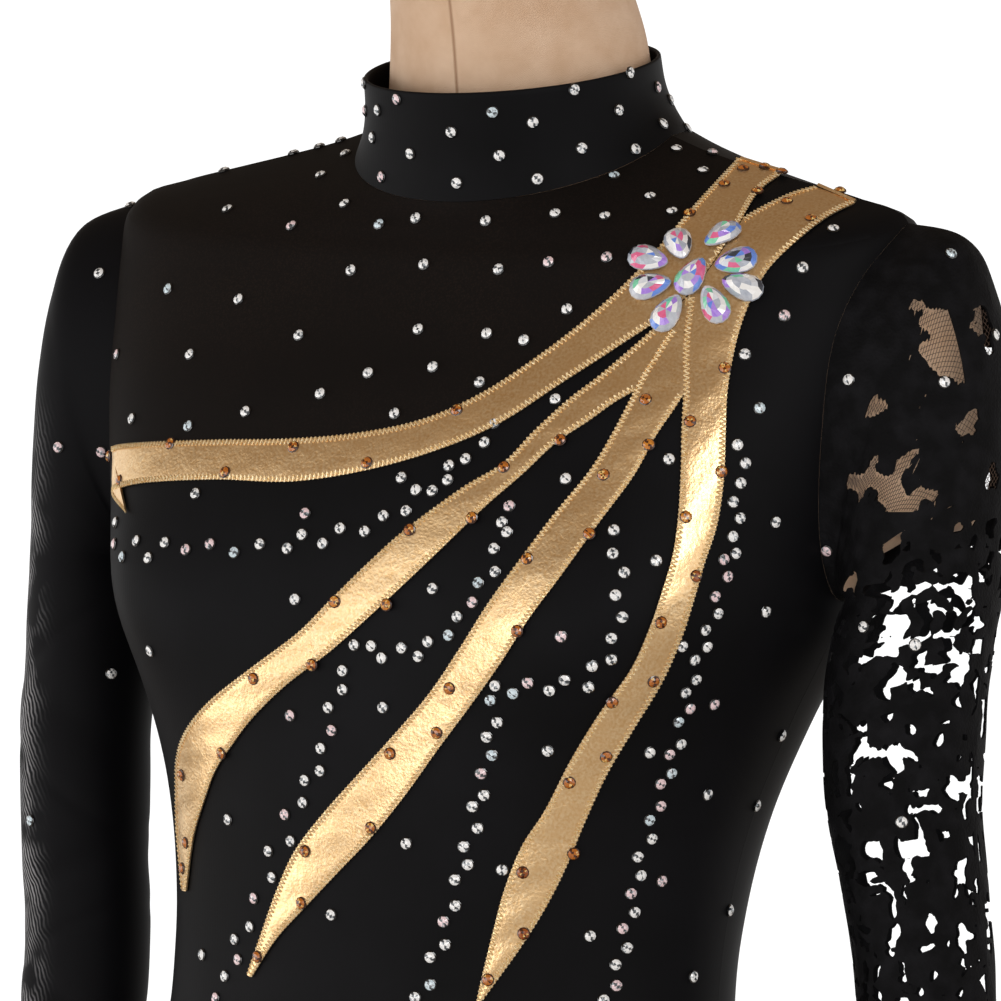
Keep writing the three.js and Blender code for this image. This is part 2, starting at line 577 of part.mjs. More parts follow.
// A repeatable number from 0 to 1 for a place in the lace.
const chance = (a, b, c) => {
  const v = Math.sin(a * 127.1 + b * 311.7 + c * 74.7) * 43758.5453;
  return v - Math.floor(v);
};
const leftRings = sleeveRings(LEFT_HEAD, LEFT_SLEEVE, LACE_STEPS);
function laceHalf(side) {
  const half = side > 0 ? 1 : 2;
  const rows = leftRings.length;
  const placeOf = (i) => sleevePlaces[(side > 0 ? i : 2 * LACE_SIDES - i) % (2 * LACE_SIDES)];
  // A corner of the net. The two halves stand a seam apart along the top and under the arm.
  const corner = (i, j, pull) => {
    const { angle, at } = placeOf(i);
    const inside = i > 0 && i < LACE_SIDES && j > 0 && j < rows - 1;
    const drift = inside ? (chance(i, j, half) - 0.5) * LACE_JITTER * (180 / LACE_SIDES) : 0;
    const p = leftRings[j]({ angle: angle + drift, at }, pull);
    if (i === 0 || i === LACE_SIDES) p.y += (side * SEAM) / 2;
    return p;
  };
  // A place in the net: column and row may be fractions.
  const place = (u, v, pull) => {
    const [i, j] = [Math.min(Math.floor(u), LACE_SIDES - 1), Math.min(Math.floor(v), rows - 2)];
    const low = corner(i, j, pull).lerp(corner(i + 1, j, pull), u - i);
    return low.lerp(corner(i, j + 1, pull).lerp(corner(i + 1, j + 1, pull), u - i), v - j);
  };
  const points = [];
  const triangles = [];
  const known = new Map();
  const vertex = ([u, v], layer) => {
    const key = u.toFixed(4) + " " + v.toFixed(4) + " " + layer;
    if (!known.has(key)) {
      known.set(key, points.length);
      points.push(place(u, v, layer ? CLOTH : 0));
    }
    return known.get(key);
  };
  const face = (list) => {
    const [a, b, c] = list.map((at) => vertex(at, 0));
    const [d, e, f] = list.map((at) => vertex(at, 1));
    triangles.push(a, b, c, d, f, e);
  };
  const rim = (a, b) => {
    const [p, q, r, s] = [vertex(a, 0), vertex(b, 0), vertex(a, 1), vertex(b, 1)];
    triangles.push(p, r, s, p, s, q);
  };
  for (let i = 0; i < LACE_SIDES; i++)
    for (let j = 0; j < rows - 1; j++) {
      const corners = [[i, j], [i + 1, j], [i + 1, j + 1], [i, j + 1]];
      const open = j > 1 && j < rows - 2 && chance(i, j, half + 5) < LACE_SHARE;
      if (!open) {
        face([corners[0], corners[1], corners[2]]);
        face([corners[0], corners[2], corners[3]]);
        continue;
      }
      const gap = gapOutline(i, j, half);
      ringFaces(corners, gap, face);
      for (let k = 0; k < GAP_SIDES; k++) rim(gap[(k + 1) % GAP_SIDES], gap[k]);
    }
  for (let i = 0; i < LACE_SIDES; i++) {
    rim([i, 0], [i + 1, 0]);
    rim([i + 1, rows - 1], [i, rows - 1]);
  }
  for (let j = 0; j < rows - 1; j++) {
    rim([0, j + 1], [0, j]);
    rim([LACE_SIDES, j], [LACE_SIDES, j + 1]);
  }
  return solid(points, triangles);
}

// The outline of one gap of the lace inside its cell, as fractions of the cell, turning up from the next column.
const LACE_SHARE = 0.62;
const GAP_SIZE = { least: 3, most: 5.4 }; // half a gap's width in mm
function gapOutline(i, j, half) {
  const cell = { wide: (Math.PI * LEFT_SLEEVE[4].deep) / LACE_SIDES, tall: j < 7 ? 22 : 441 / LACE_STEPS };
  const size = lerp(GAP_SIZE.least, GAP_SIZE.most, chance(i, j, half + 7));
  const wide = size / cell.wide;
  const tall = (size * lerp(0.9, 1.5, chance(i, j, half + 9))) / cell.tall;
  const lean = (chance(i, j, half + 11) - 0.5) * 0.6;
  const rise = (chance(i, j, half + 17) - 0.5) * Math.max(0.9 - 2.6 * tall, 0);
  return Array.from({ length: GAP_SIDES }, (_, k) => {
    const angle = ((k + 0.5) / GAP_SIDES) * 2 * Math.PI;
    const reach = 0.75 + 0.5 * chance(i * 7 + k, j, half + 13);
    const [a, b] = [Math.cos(angle) * wide * reach, Math.sin(angle) * tall * reach];
    return [i + 0.5 + a + lean * b, j + 0.5 + rise + b];
  });
}

// Faces between a cell's four corners and the gap inside it, walking round both together.
function ringFaces(corners, gap, face) {
  const middle = [0, 1].map((k) => gap.reduce((sum, p) => sum + p[k] / gap.length, 0));
  const angle = (p) => (Math.atan2(p[1] - middle[1], p[0] - middle[0]) + 2 * Math.PI) % (2 * Math.PI);
  const outer = [corners[2], corners[3], corners[0], corners[1]];
  const inner = [...gap].sort((p, q) => angle(p) - angle(q));
  const reach = (list, k) => angle(list[k % list.length]) + (k >= list.length ? 2 * Math.PI : 0);
  for (let a = 0, b = 0; a < outer.length || b < inner.length; ) {
    const [p, q] = [outer[a % outer.length], inner[b % inner.length]];
    if (b >= inner.length || (a < outer.length && reach(outer, a + 1) < reach(inner, b + 1))) {
      face([p, outer[(a + 1) % outer.length], q]);
      a++;
    } else {
      face([p, inner[(b + 1) % inner.length], q]);
      b++;
    }
  }
}

// The skirt is a soft flare with even waves, sewn on over the hips.
const SKIRT_COLUMNS = SKIRT_WAVES * 4;
function skirtPoint(turn, at, pull) {
  const row = Math.max(rowAt(BODY, "side", column(SKIRT, "height", at)), 0);
  const p = bodyPoint(turn, row);
  const out = bodyNormal(turn, row).setZ(0).normalize();
  const wave = column(SKIRT, "wave", at) * Math.cos(rad(turn * SKIRT_WAVES) + Math.PI);
  p.addScaledVector(out, column(SKIRT, "out", at) + wave - pull);
  return p.setZ(column(SKIRT, "height", at));
}
function skirtHalf(from) {
  const net = (pull) =>
    Array.from({ length: SKIRT_COLUMNS / 2 + 1 }, (_, i) => {
      const end = i === 0 ? 0.1 : i === SKIRT_COLUMNS / 2 ? -0.1 : 0;
      const turn = from + (360 * i) / SKIRT_COLUMNS + end;
      return Array.from({ length: SKIRT.length }, (_, j) => skirtPoint(turn, SKIRT.length - 1 - j, pull));
    });
  return wall(net(0), net(CLOTH), false);
}

// Gold rays: a slab that lies on the front panels, cut along each ray's two edges.
const slab = toManifold(
  wall(
    movedOut(seamNet(frontNet), GOLD_LIFT + GOLD_CLOTH),
    movedOut(seamNet(frontNet), GOLD_LIFT),
    false,
  ),
);
const CUT_DEPTH = 7;
// The cutter of one ray: a wall that follows its two edges, wider on each side by the growth. Its first or last end
// may run on past the seam that the ray stops at.
function cutter(rows, { start = 0, end = 0, grow = 0, flare = 0 } = {}) {
  const sides = [[], []];
  for (let at = 0; at < rows.length; at++) {
    const { x1, y1, x2, y2 } = rows[at];
    const spread = (1.6 * grow) / VIEW.mmPerPixel / Math.hypot(x2 - x1, y2 - y1);
    const ends = [
      onFront(x1 - (x2 - x1) * spread, y1 - (y2 - y1) * spread),
      onFront(x2 + (x2 - x1) * spread, y2 + (y2 - y1) * spread),
    ];
    ends.forEach((place, side) => {
      const put = (across, level) => {
        const turn = frontTurn(across, level);
        sides[side].push({ p: bodyPoint(turn, level), n: bodyNormal(turn, level) });
      };
      // A ray that runs off an edge follows the cloth to it, and flares on its lower side at the right one.
      if (at === 0 && start && place.across < 0) put(-1, place.at - flare * side);
      put(place.across, place.at);
      if (at === rows.length - 1 && end) put(1, place.at);
    });
  }
  const net = (by) =>
    movedOut(sides, by).map((list) => {
      const beyond = (p, q, far) => (far ? p.clone().add(p.clone().sub(q).setLength(far)) : p);
      const first = beyond(list[0], list[1], start || grow);
      return [first, ...list.slice(1, -1), beyond(list.at(-1), list.at(-2), end || grow)];
    });
  return toManifold(wall(net(CUT_DEPTH), net(-CUT_DEPTH), false));
}
const PAST_SEAM = 8;
const upper = cutter(UPPER_RAY, { start: PAST_SEAM, end: PAST_SEAM, flare: 0.2 });
const upperGrown = cutter(UPPER_RAY, { start: PAST_SEAM, end: PAST_SEAM, grow: SEAM, flare: 0.2 });
const fourth = cutter(FOURTH_RAY, { start: PAST_SEAM });
const fourthGrown = cutter(FOURTH_RAY, { start: PAST_SEAM, grow: SEAM });
const third = cutter(THIRD_RAY);
const thirdGrown = cutter(THIRD_RAY, { grow: SEAM });
const second = cutter(SECOND_RAY);
// The yoke of fine mesh and the front panel part under the middle of the upper ray.
const seamLine = UPPER_RAY.slice(0, -1).map(({ x1, y1, x2, y2 }) => {
  const half = SEAM / 2 / VIEW.mmPerPixel / Math.hypot(x2 - x1, y2 - y1);
  const [dx, dy] = [(x2 - x1) * half, (y2 - y1) * half];
  const [x, y] = [(x1 + x2) / 2, (y1 + y2) / 2];
  return { x1: x - dx, y1: y - dy, x2: x + dx, y2: y + dy };
});
const front = toManifold(panel(frontNet)).subtract(cutter(seamLine, { start: PAST_SEAM, end: PAST_SEAM }));
const [bodiceFront, yokeFront] = front
  .decompose()
  .sort((a, b) => b.volume() - a.volume())
  .map(fromManifold);

// Each ray stops a seam short of the ray that it meets at the flower, and only its own large piece is kept.
const largest = (made) => made.decompose().reduce((a, b) => (b.volume() > a.volume() ? b : a));
const rays = {
  gold_ray_1: largest(slab.intersect(upper)),
  gold_ray_4: largest(slab.intersect(fourth).subtract(upperGrown)),
  gold_ray_3: largest(slab.intersect(third).subtract(upperGrown).subtract(fourthGrown)),
  gold_ray_2: largest(
    slab.intersect(second).subtract(upperGrown).subtract(fourthGrown).subtract(thirdGrown),
  ),
};

// A drop crystal: flat back, eight-sided outline with one pointed end, sloping crown and a flat table.
function dropCrystal({ x, y, turn, sink = 0 }) {
  const place = onFront(x, y);
  const bodyTurn = frontTurn(place.across, place.at);
  const normal = bodyNormal(bodyTurn, place.at);
  const middle = bodyPoint(bodyTurn, place.at).addScaledVector(normal, GOLD_LIFT + GOLD_CLOTH + 0.65 - sink);
  const toEye = eye.clone().sub(middle).normalize();
  const right = new THREE.Vector3(Math.cos(VIEW.turn), Math.sin(VIEW.turn), 0);
  const up = toEye.clone().cross(right).normalize();
  const along = right.clone().multiplyScalar(Math.cos(rad(turn)));
  along.addScaledVector(up, Math.sin(rad(turn)));
  along.addScaledVector(normal, -along.dot(normal)).normalize();
  const aside = normal.clone().cross(along);
  const sides = 10;
  const outline = (share, height) =>
    Array.from({ length: sides }, (_, k) => {
      const a = (2 * Math.PI * k) / sides;
      const taper = 0.5 + 0.5 * Math.cos(a);
      const across = Math.sin(a) * (0.55 + 0.45 * taper) * 1.12;
      const p = middle.clone().addScaledVector(along, (Math.cos(a) * DROP.length * share) / 2);
      p.addScaledVector(aside, (across * DROP.width * share) / 2);
      return p.addScaledVector(normal, height);
    });
  return loft([outline(0.86, 0), outline(1, DROP.height * 0.25), outline(0.55, DROP.height)]);
}

// The dress form: the panels' own net, moved in under the cloth, so that it stays smooth and clear of it, then the
// neck, and a short stub in each sleeve head.
const formPull = CLOTH + FORM_CLEAR;
// The two nets' side columns are drawn in a little, so that they don't meet.
const drawnIn = (net) =>
  movedOut(
    net.map((nodes, i) =>
      nodes.map((node, j) => {
        const next = i === 0 ? 1 : i === net.length - 1 ? i - 1 : i;
        const way = net[next][j].p.clone().sub(node.p);
        return next === i ? node : { ...node, p: node.p.clone().add(way.setLength(2)) };
      }),
    ),
    -formPull,
  );
const formNet = [...drawnIn(frontNet), ...drawnIn(backNet)];
function torso() {
  const rings = formNet[0].map((_, j) => formNet.map((list) => list[j]));
  const foot = rings[0].map((p) => new THREE.Vector3(p.x, p.y, FORM_FOOT));
  const neckTurn = (i) => (i <= COLUMNS ? acrosses[i] * 90 : 180 - acrosses[2 * COLUMNS + 1 - i] * 90);
  const neck = [0, 0.5, 1, 1.5, 2, 3].map((at) => rings[0].map((_, i) => sectionPoint(NECK, neckTurn(i), at)));
  return loft([foot, ...rings, ...neck]);
}
const STUB = { pull: 5.5, sink: 7, shrink: 0.14 };
function armStub() {
  const places = Array.from({ length: 16 }, (_, i) => ({ angle: 22.5 * i }));
  const rings = sleeveRings(RIGHT_HEAD, RIGHT_SLEEVE, 1).slice(1, 1 + RIGHT_HEAD.length);
  const made = rings.map((ring) => places.map((place) => ring(place, STUB.pull)));
  const middle = made[0].reduce((sum, p) => sum.add(p), new THREE.Vector3()).divideScalar(places.length);
  const first = made[0].map((p) => {
    const at = p.clone().lerp(middle, STUB.shrink);
    at.x = Math.min(at.x, 174) - STUB.sink;
    return at;
  });
  return loft([first, ...made]);
}

const upright = (geometry) => geometry.rotateX(Math.PI / 2);
const pole = upright(
  new THREE.CylinderGeometry(POLE_RADIUS, POLE_RADIUS, FORM_FOOT - BASE.thickness - 2 * SEAM, 24),
);
pole.translate(0, 0, (FORM_FOOT + BASE.thickness) / 2);
const baseProfile = [
  new THREE.Vector2(0, 0),
  new THREE.Vector2(BASE.radius, 0),
  new THREE.Vector2(BASE.radius, BASE.thickness * 0.55),
  new THREE.Vector2(BASE.radius - 5, BASE.thickness),
  new THREE.Vector2(0, BASE.thickness),
];
const base = upright(new THREE.LatheGeometry(baseProfile, 48));

const material = (color, roughness, metalness = 0) =>
  new THREE.MeshStandardMaterial({ color, roughness, metalness });
const stretchCloth = material(0x131316, 0.6);
const sheerMesh = material(0x1d1916, 0.7);
const lace = material(0x121214, 0.8);
const chiffon = material(0x161619, 0.8);
const goldFoil = material(0xc9a15a, 0.35, 0.9);
const crystal = material(0xd9dfea, 0.08);
const linen = material(0xcdb096, 0.85);
const steel = material(0xb9bcc0, 0.3, 0.9);

const dress = new THREE.Group();
function add(name, geometry, finish) {
  const mesh = new THREE.Mesh(geometry, finish);
  mesh.name = name;
  dress.add(mesh);
}
add("bodice_front", bodiceFront, stretchCloth);
add("bodice_back", bodiceBack, stretchCloth);
add("yoke_front", yokeFront, sheerMesh);
add("collar", collar, stretchCloth);
add("sleeve_right_mesh", rightSleeve, sheerMesh);
add("sleeve_left_lace_back", laceHalf(1), lace);
add("sleeve_left_lace_front", laceHalf(-1), lace);
add("skirt_front", skirtHalf(-90), chiffon);
add("skirt_back", skirtHalf(90), chiffon);
for (const [name, made] of Object.entries(rays)) add(name, fromManifold(made), goldFoil);
for (const row of FLOWER) add(row.name, dropCrystal(row), crystal);
const leftStub = toManifold(armStub());
const form = toManifold(torso()).add(leftStub).add(leftStub.mirror([1, 0, 0]));
add("form_torso", fromManifold(form), linen);
add("stand_pole", pole, steel);
add("stand_base", base, steel);

export default dress;
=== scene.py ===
"""The looks of a figure skating dress in black stretch cloth, mesh and lace, on a limbless dress form.

Shapes are worked out in millimetres, +Z up, the dress facing -Y with its own left side at +X, and go into
the meshes in metres. Each surface is a function of two parameters on a grid of numpy arrays.
"""
import math

import bpy
import numpy as np
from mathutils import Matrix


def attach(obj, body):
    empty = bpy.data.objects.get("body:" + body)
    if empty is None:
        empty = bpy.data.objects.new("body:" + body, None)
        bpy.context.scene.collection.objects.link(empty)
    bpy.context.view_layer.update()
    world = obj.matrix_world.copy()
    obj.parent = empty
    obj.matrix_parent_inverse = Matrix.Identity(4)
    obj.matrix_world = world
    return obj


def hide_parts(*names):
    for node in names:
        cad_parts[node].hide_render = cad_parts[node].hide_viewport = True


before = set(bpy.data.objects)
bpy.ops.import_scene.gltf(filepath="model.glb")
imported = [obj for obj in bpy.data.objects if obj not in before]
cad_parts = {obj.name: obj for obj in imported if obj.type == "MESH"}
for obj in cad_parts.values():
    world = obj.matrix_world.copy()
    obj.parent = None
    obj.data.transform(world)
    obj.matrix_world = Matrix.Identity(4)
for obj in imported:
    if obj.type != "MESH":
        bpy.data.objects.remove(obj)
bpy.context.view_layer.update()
MM = 0.001

# Sizes of the cloth, as in the solids.
CLOTH = 1.2
COLLAR_CLOTH = 1.8
LACE_CLOTH = 1.0
FORM_CLEAR = 1.5
GOLD_LIFT = 0.4
GOLD_CLOTH = 1.0
HAIR = 0.03  # half the gap that is left between sewn edges, so that no light shows through a seam

# The three-quarter view in which the front of the garment is read, and the picture's size.
VIEW_TURN = math.radians(29)
VIEW_ROLL = math.radians(3)
VIEW_DISTANCE = 2800
VIEW_HEIGHT = 1260
VIEW_ASIDE = 10
MM_PER_PIXEL = 0.42
PICTURE = 1001
SENSOR = 36


def table(names, rows):
    """Rows of numbers as one array for each named column."""
    return dict(zip(names.split(), np.array(rows, float).T))


SECTION = "side half front frontZ back backZ middle square"
BODY = table(SECTION, [
    (775, 148, -92, 775, 100, 775, 4, 2.3),
    (835, 159, -98, 835, 112, 835, 4, 2.3),
    (895, 160, -98, 895, 112, 895, 4, 2.3),
    (955, 148, -94, 955, 98, 955, 3, 2.2),
    (1010, 132, -87, 1010, 86, 1010, 1, 2.1),
    (1053, 126, -83, 1053, 83, 1053, 0, 2.1),
    (1095, 127, -88, 1095, 90, 1095, 3, 2.1),
    (1135, 133, -93, 1135, 96, 1135, 8, 2.2),
    (1175, 146, -97, 1175, 105, 1175, 13, 2.3),
    (1215, 162, -98, 1215, 111, 1215, 17, 2.4),
    (1255, 170, -93, 1255, 115, 1255, 18, 2.5),
    (1295, 177, -80, 1294, 116, 1295, 18, 2.6),
    (1332, 182, -65, 1325, 114, 1332, 18, 2.5),
    (1363, 185, -56, 1346, 110, 1359, 18, 2.3),
    (1384, 184, -51, 1359, 106, 1377, 18, 2.1),
    (1392, 161, -47, 1366, 102, 1389, 17, 2.0),
    (1398, 136, -44.5, 1371, 98, 1400, 17, 2.0),
    (1404, 111, -42.5, 1375, 94, 1410, 18, 2.0),
    (1410, 89, -41, 1379, 89, 1419, 20, 2.0),
    (1416, 72, -40, 1382.5, 84, 1427, 22, 2.0),
])
COLLAR = table(SECTION, [
    (1416.6, 72, -40.3, 1383.1, 84, 1427.6, 22, 2.0),
    (1424, 66.5, -43.5, 1398, 81.5, 1437, 19, 2.0),
    (1433, 63, -48, 1412, 78.5, 1447, 15, 2.0),
    (1443, 62, -52, 1426, 75, 1459, 11, 2.0),
])
NECK = table(SECTION, [
    (1430, 57, -33, 1409.4, 71, 1450.6, 20, 2.0),
    (1450, 54.5, -35, 1428.7, 65, 1471.3, 15, 2.0),
    (1474, 50.5, -41.5, 1454.3, 51.5, 1493.7, 5, 2.0),
    (1500, 48.5, -50.6, 1481, 38.6, 1519, -6, 2.0),
])
NECK_ROW = len(BODY["side"]) - 1
BUST_HEIGHT, BUST_SPREAD, BUST_TURN, BUST_WIDTH, BUST_FULLNESS = 1212, 44, 38, 21, 13
HOLE_X, HOLE_Y, HOLE_HEIGHT, HOLE_DEEP, HOLE_HIGH = 172, 18, 1304, 40, 78
ARMPIT_X, ARMPIT_HEIGHT = 167, 1226
LEFT_HEAD = table("lift near far deep", [
    (74, 0.6, 157, 40.5),
    (67, 1.1, 142, 41.5),
    (58, 1.6, 119, 42),
    (46, 2.1, 95, 41.5),
    (31, 2.6, 77, 40.5),
    (15, 3.1, 67.5, 39.5),
])
RIGHT_HEAD = table("lift near far deep", [
    (74, 0.6, 152, 40.5),
    (67, 1.1, 132.5, 41),
    (58, 1.6, 106.5, 40.5),
    (46, 2.1, 83, 39.5),
    (31, 2.6, 67.7, 38),
    (15, 3.1, 59.5, 36.7),
])
LEFT_SLEEVE = table("height x y half deep", [
    (1226, 200.7, 17.5, 30.4, 38.5),
    (1200, 197.5, 14.5, 33, 36.5),
    (1150, 199, 12, 32, 34),
    (1100, 208.5, 13, 29.5, 31),
    (1050, 216, 13, 28, 29),
    (990, 222, 12, 27, 28),
    (920, 228, 10, 25.5, 26.5),
    (850, 233, 8, 24, 25),
    (785, 239, 6, 23, 24),
])
RIGHT_SLEEVE = table("height x y half deep", [
    (1226, 197.3, 17.5, 27, 35.8),
    (1200, 195.7, 15, 28.3, 33),
    (1150, 196, 13, 28.5, 30),
    (1100, 193, 13, 28, 28),
    (1050, 190.5, 14, 28, 27),
    (990, 192, 13, 27, 27),
    (920, 201, 11, 25.5, 26),
    (850, 215, 8, 24, 25),
    (785, 230, 6, 23, 24),
])
# Soft folds round the mesh sleeve: the first six are in its solid, and the rest are finer creases.
SLEEVE_FOLDS = table("height spread slant depth", [
    (1165, 13, 16, 1.6),
    (1085, 11, -14, 1.9),
    (1040, 10, 18, 2.2),
    (960, 12, -15, 1.8),
    (880, 10, 12, 1.5),
    (812, 9, -10, 1.4),
    (1190, 5, -22, 0.7),
    (1128, 4, 20, 0.8),
    (1062, 4, -16, 0.7),
    (1008, 5, 24, 0.8),
    (930, 4, 18, 0.6),
    (850, 5, -14, 0.7),
])
SKIRT = table("height out wave", [
    (962, 2.2, 0),
    (930, 7, 1.5),
    (885, 15, 4),
    (838, 22, 6),
    (790, 31, 9.5),
    (738, 45, 14),
])
SKIRT_WAVES = 12
LEG_CENTRE, LEG_RISE = 782, 96
FORM_FOOT = 762

# The gold rays' two edges, in pixels of the three-quarter view.
EDGES = "x1 y1 x2 y2"
GOLD_RAYS = {
    "gold_ray_1": table(EDGES, [
        (116, 447, 115, 494), (126, 445, 130, 486), (158, 443, 162, 482), (220, 441, 222, 480),
        (290, 440, 292, 482), (360, 434, 366, 471), (425, 420, 437, 451), (485, 393, 500, 424),
        (545, 353, 562, 384), (600, 309, 622, 345), (648, 262, 682, 302), (690, 213, 731, 238),
        (722, 178, 758, 194), (743, 156, 786, 173),
    ]),
    "gold_ray_4": table(EDGES, [
        (814, 189, 854, 205), (785, 198, 822, 222), (738, 224, 777, 260), (700, 262, 757, 288),
        (688, 310, 743, 320), (684, 350, 734, 352), (684, 391, 727, 393), (682, 430, 725, 434),
        (681, 470, 723, 478), (678, 516, 716, 524), (672, 556, 703, 564), (660, 596, 693, 598),
        (648, 630, 680, 638), (630, 669, 661, 681), (599, 713, 634, 726), (571, 759, 607, 772),
        (545, 810, 585, 820), (522, 846, 566, 866), (505, 889, 545, 908), (494, 930, 520, 948),
        (484, 971, 495, 983), (477, 1003, 480, 1004),
    ]),
    "gold_ray_3": table(EDGES, [
        (672, 330, 714, 345), (645, 372, 694, 378), (631, 400, 676, 407), (612, 436, 655, 438),
        (590, 472, 634, 476), (555, 515, 598, 525), (519, 563, 560, 578), (490, 603, 530, 618),
        (460, 650, 503, 660), (430, 694, 472, 704), (395, 735, 440, 747), (358, 776, 405, 796),
        (325, 813, 371, 838), (297, 850, 338, 873), (279, 889, 308, 905), (265, 928, 278, 938),
        (249, 974, 253, 977),
    ]),
    "gold_ray_2": table(EDGES, [
        (690, 296, 706, 350), (645, 338, 668, 374), (600, 377, 620, 400), (570, 400, 590, 421),
        (535, 432, 556, 444), (504, 464, 524, 474), (463, 489, 486, 507), (407, 530, 437, 554),
        (371, 562, 400, 589), (333, 599, 362, 624), (299, 633, 330, 652), (251, 669, 288, 684),
        (212, 700, 255, 716), (189, 728, 233, 745), (179, 756, 217, 770), (178, 792, 205, 803),
        (179, 830, 195, 838), (184, 890, 188, 891),
    ]),
}
DROP_LENGTH, DROP_WIDTH, DROP_HEIGHT = 18, 13, 5
FLOWER = {
    "crystal_centre": (693, 279, -115),
    "crystal_petal_1": (650, 262, 160),
    "crystal_petal_2": (680, 248, 110),
    "crystal_petal_3": (723, 240, 60),
    "crystal_petal_4": (737, 264, 15),
    "crystal_petal_5": (743, 289, -20),
    "crystal_petal_6": (715, 307, -62),
    "crystal_petal_7": (669, 316, -115),
    "crystal_petal_8": (652, 289, -170),
}


# Shapes of the garment.
def column(rows, name, at):
    """A column's smooth value at a fractional row: the cubic through the four nearest rows."""
    v = rows[name]
    at = np.asarray(at, float)
    i = np.clip(np.floor(at).astype(int), 0, len(v) - 2)
    f = at - i
    a, b, c, d = (v[np.clip(i + k, 0, len(v) - 1)] for k in (-1, 0, 1, 2))
    return b + 0.5 * f * (c - a + f * (2 * a - 5 * b + 4 * c - d + f * (3 * (b - c) + d - a)))


def row_at(rows, name, value):
    """The fractional row at which a rising or falling column reaches a value, by halving."""
    value = np.asarray(value, float)
    rising = rows[name][-1] > rows[name][0]
    low = np.zeros_like(value)
    high = low + len(rows[name]) - 1
    for _ in range(30):
        mid = (low + high) / 2
        below = (column(rows, name, mid) < value) == rising
        low = np.where(below, mid, low)
        high = np.where(below, high, mid)
    return (low + high) / 2


def section_point(rows, turn, at):
    """A point of a section: a squared ellipse whose front and back ends have their own depth and height."""
    turn, at = np.broadcast_arrays(np.asarray(turn, float), np.asarray(at, float))
    power = 2 / column(rows, "square", at)
    s = np.sin(np.radians(turn))
    c = np.cos(np.radians(turn))
    share = np.abs(c) ** power
    middle = column(rows, "middle", at)
    side = column(rows, "side", at)
    end_y = np.where(c > 0, column(rows, "front", at), column(rows, "back", at))
    end_z = np.where(c > 0, column(rows, "frontZ", at), column(rows, "backZ", at))
    x = column(rows, "half", at) * np.sign(s) * np.abs(s) ** power
    return np.stack([x, middle + (end_y - middle) * share, side + (end_z - side) * share], -1)


def body_point(turn, at):
    """The dress's outer face: its section, and a bell-shaped fullness forward over the bust darts."""
    p = section_point(BODY, turn, at)
    away = (np.abs(turn) - BUST_TURN) / BUST_WIDTH
    up = (p[..., 2] - BUST_HEIGHT) / BUST_SPREAD
    full = BUST_FULLNESS * np.exp(-(away**2) - up**2)
    forward = np.stack([np.sin(np.radians(turn)) * 0.35 * full, -full, 0 * full], -1)
    return p + forward


def unit(v):
    """Vectors of length one."""
    return v / np.maximum(np.linalg.norm(v, axis=-1, keepdims=True), 1e-9)


def body_normal(turn, at):
    """Outward normal of the dress's outer face: the cross product of its slopes round and up."""
    high = np.minimum(at + 0.02, NECK_ROW)
    around = body_point(turn + 1, at) - body_point(turn - 1, at)
    up = body_point(turn, high) - body_point(turn, high - 0.04)
    return unit(np.cross(around, up))


def panel_turn(at, end):
    """Half the turn that a front or back panel covers: a quarter, or up to the armhole's ellipse."""
    up = (column(BODY, "side", at) - HOLE_HEIGHT) / HOLE_HIGH
    deep = np.abs(column(BODY, end, at) - column(BODY, "middle", at))
    share = HOLE_DEEP * np.sqrt(np.clip(1 - up * up, 0, 1)) / deep
    return np.degrees(np.arccos(share ** (column(BODY, "square", at) / 2)))


def front_turn(across, at):
    """The turn at a share across the front panel, from -1 to 1."""
    return across * panel_turn(at, "front")


def back_turn(across, at):
    """The turn at a share across the back panel, from -1 to 1."""
    return 180 - across * panel_turn(at, "back")


def front_point(across, at):
    """A point of the front panel's outer face."""
    return body_point(front_turn(across, at), at)


# The three-quarter view.
LEVEL_RIGHT = np.array([math.cos(VIEW_TURN), math.sin(VIEW_TURN), 0])
VIEW_BACK = np.array([math.sin(VIEW_TURN), -math.cos(VIEW_TURN), 0])
LEVEL_UP = np.array([0, 0, 1.0])
EYE = VIEW_DISTANCE * VIEW_BACK + VIEW_ASIDE * LEVEL_RIGHT + VIEW_HEIGHT * LEVEL_UP
VIEW_RIGHT = math.cos(VIEW_ROLL) * LEVEL_RIGHT + math.sin(VIEW_ROLL) * LEVEL_UP
VIEW_UP = math.cos(VIEW_ROLL) * LEVEL_UP - math.sin(VIEW_ROLL) * LEVEL_RIGHT


def seen(p):
    """Where points show in the view, in pixels: the perspective of the camera at EYE."""
    d = p - EYE
    scale = VIEW_DISTANCE / (-(d @ VIEW_BACK)) / MM_PER_PIXEL
    return np.stack([PICTURE / 2 + d @ VIEW_RIGHT * scale, PICTURE / 2 - d @ VIEW_UP * scale], -1)


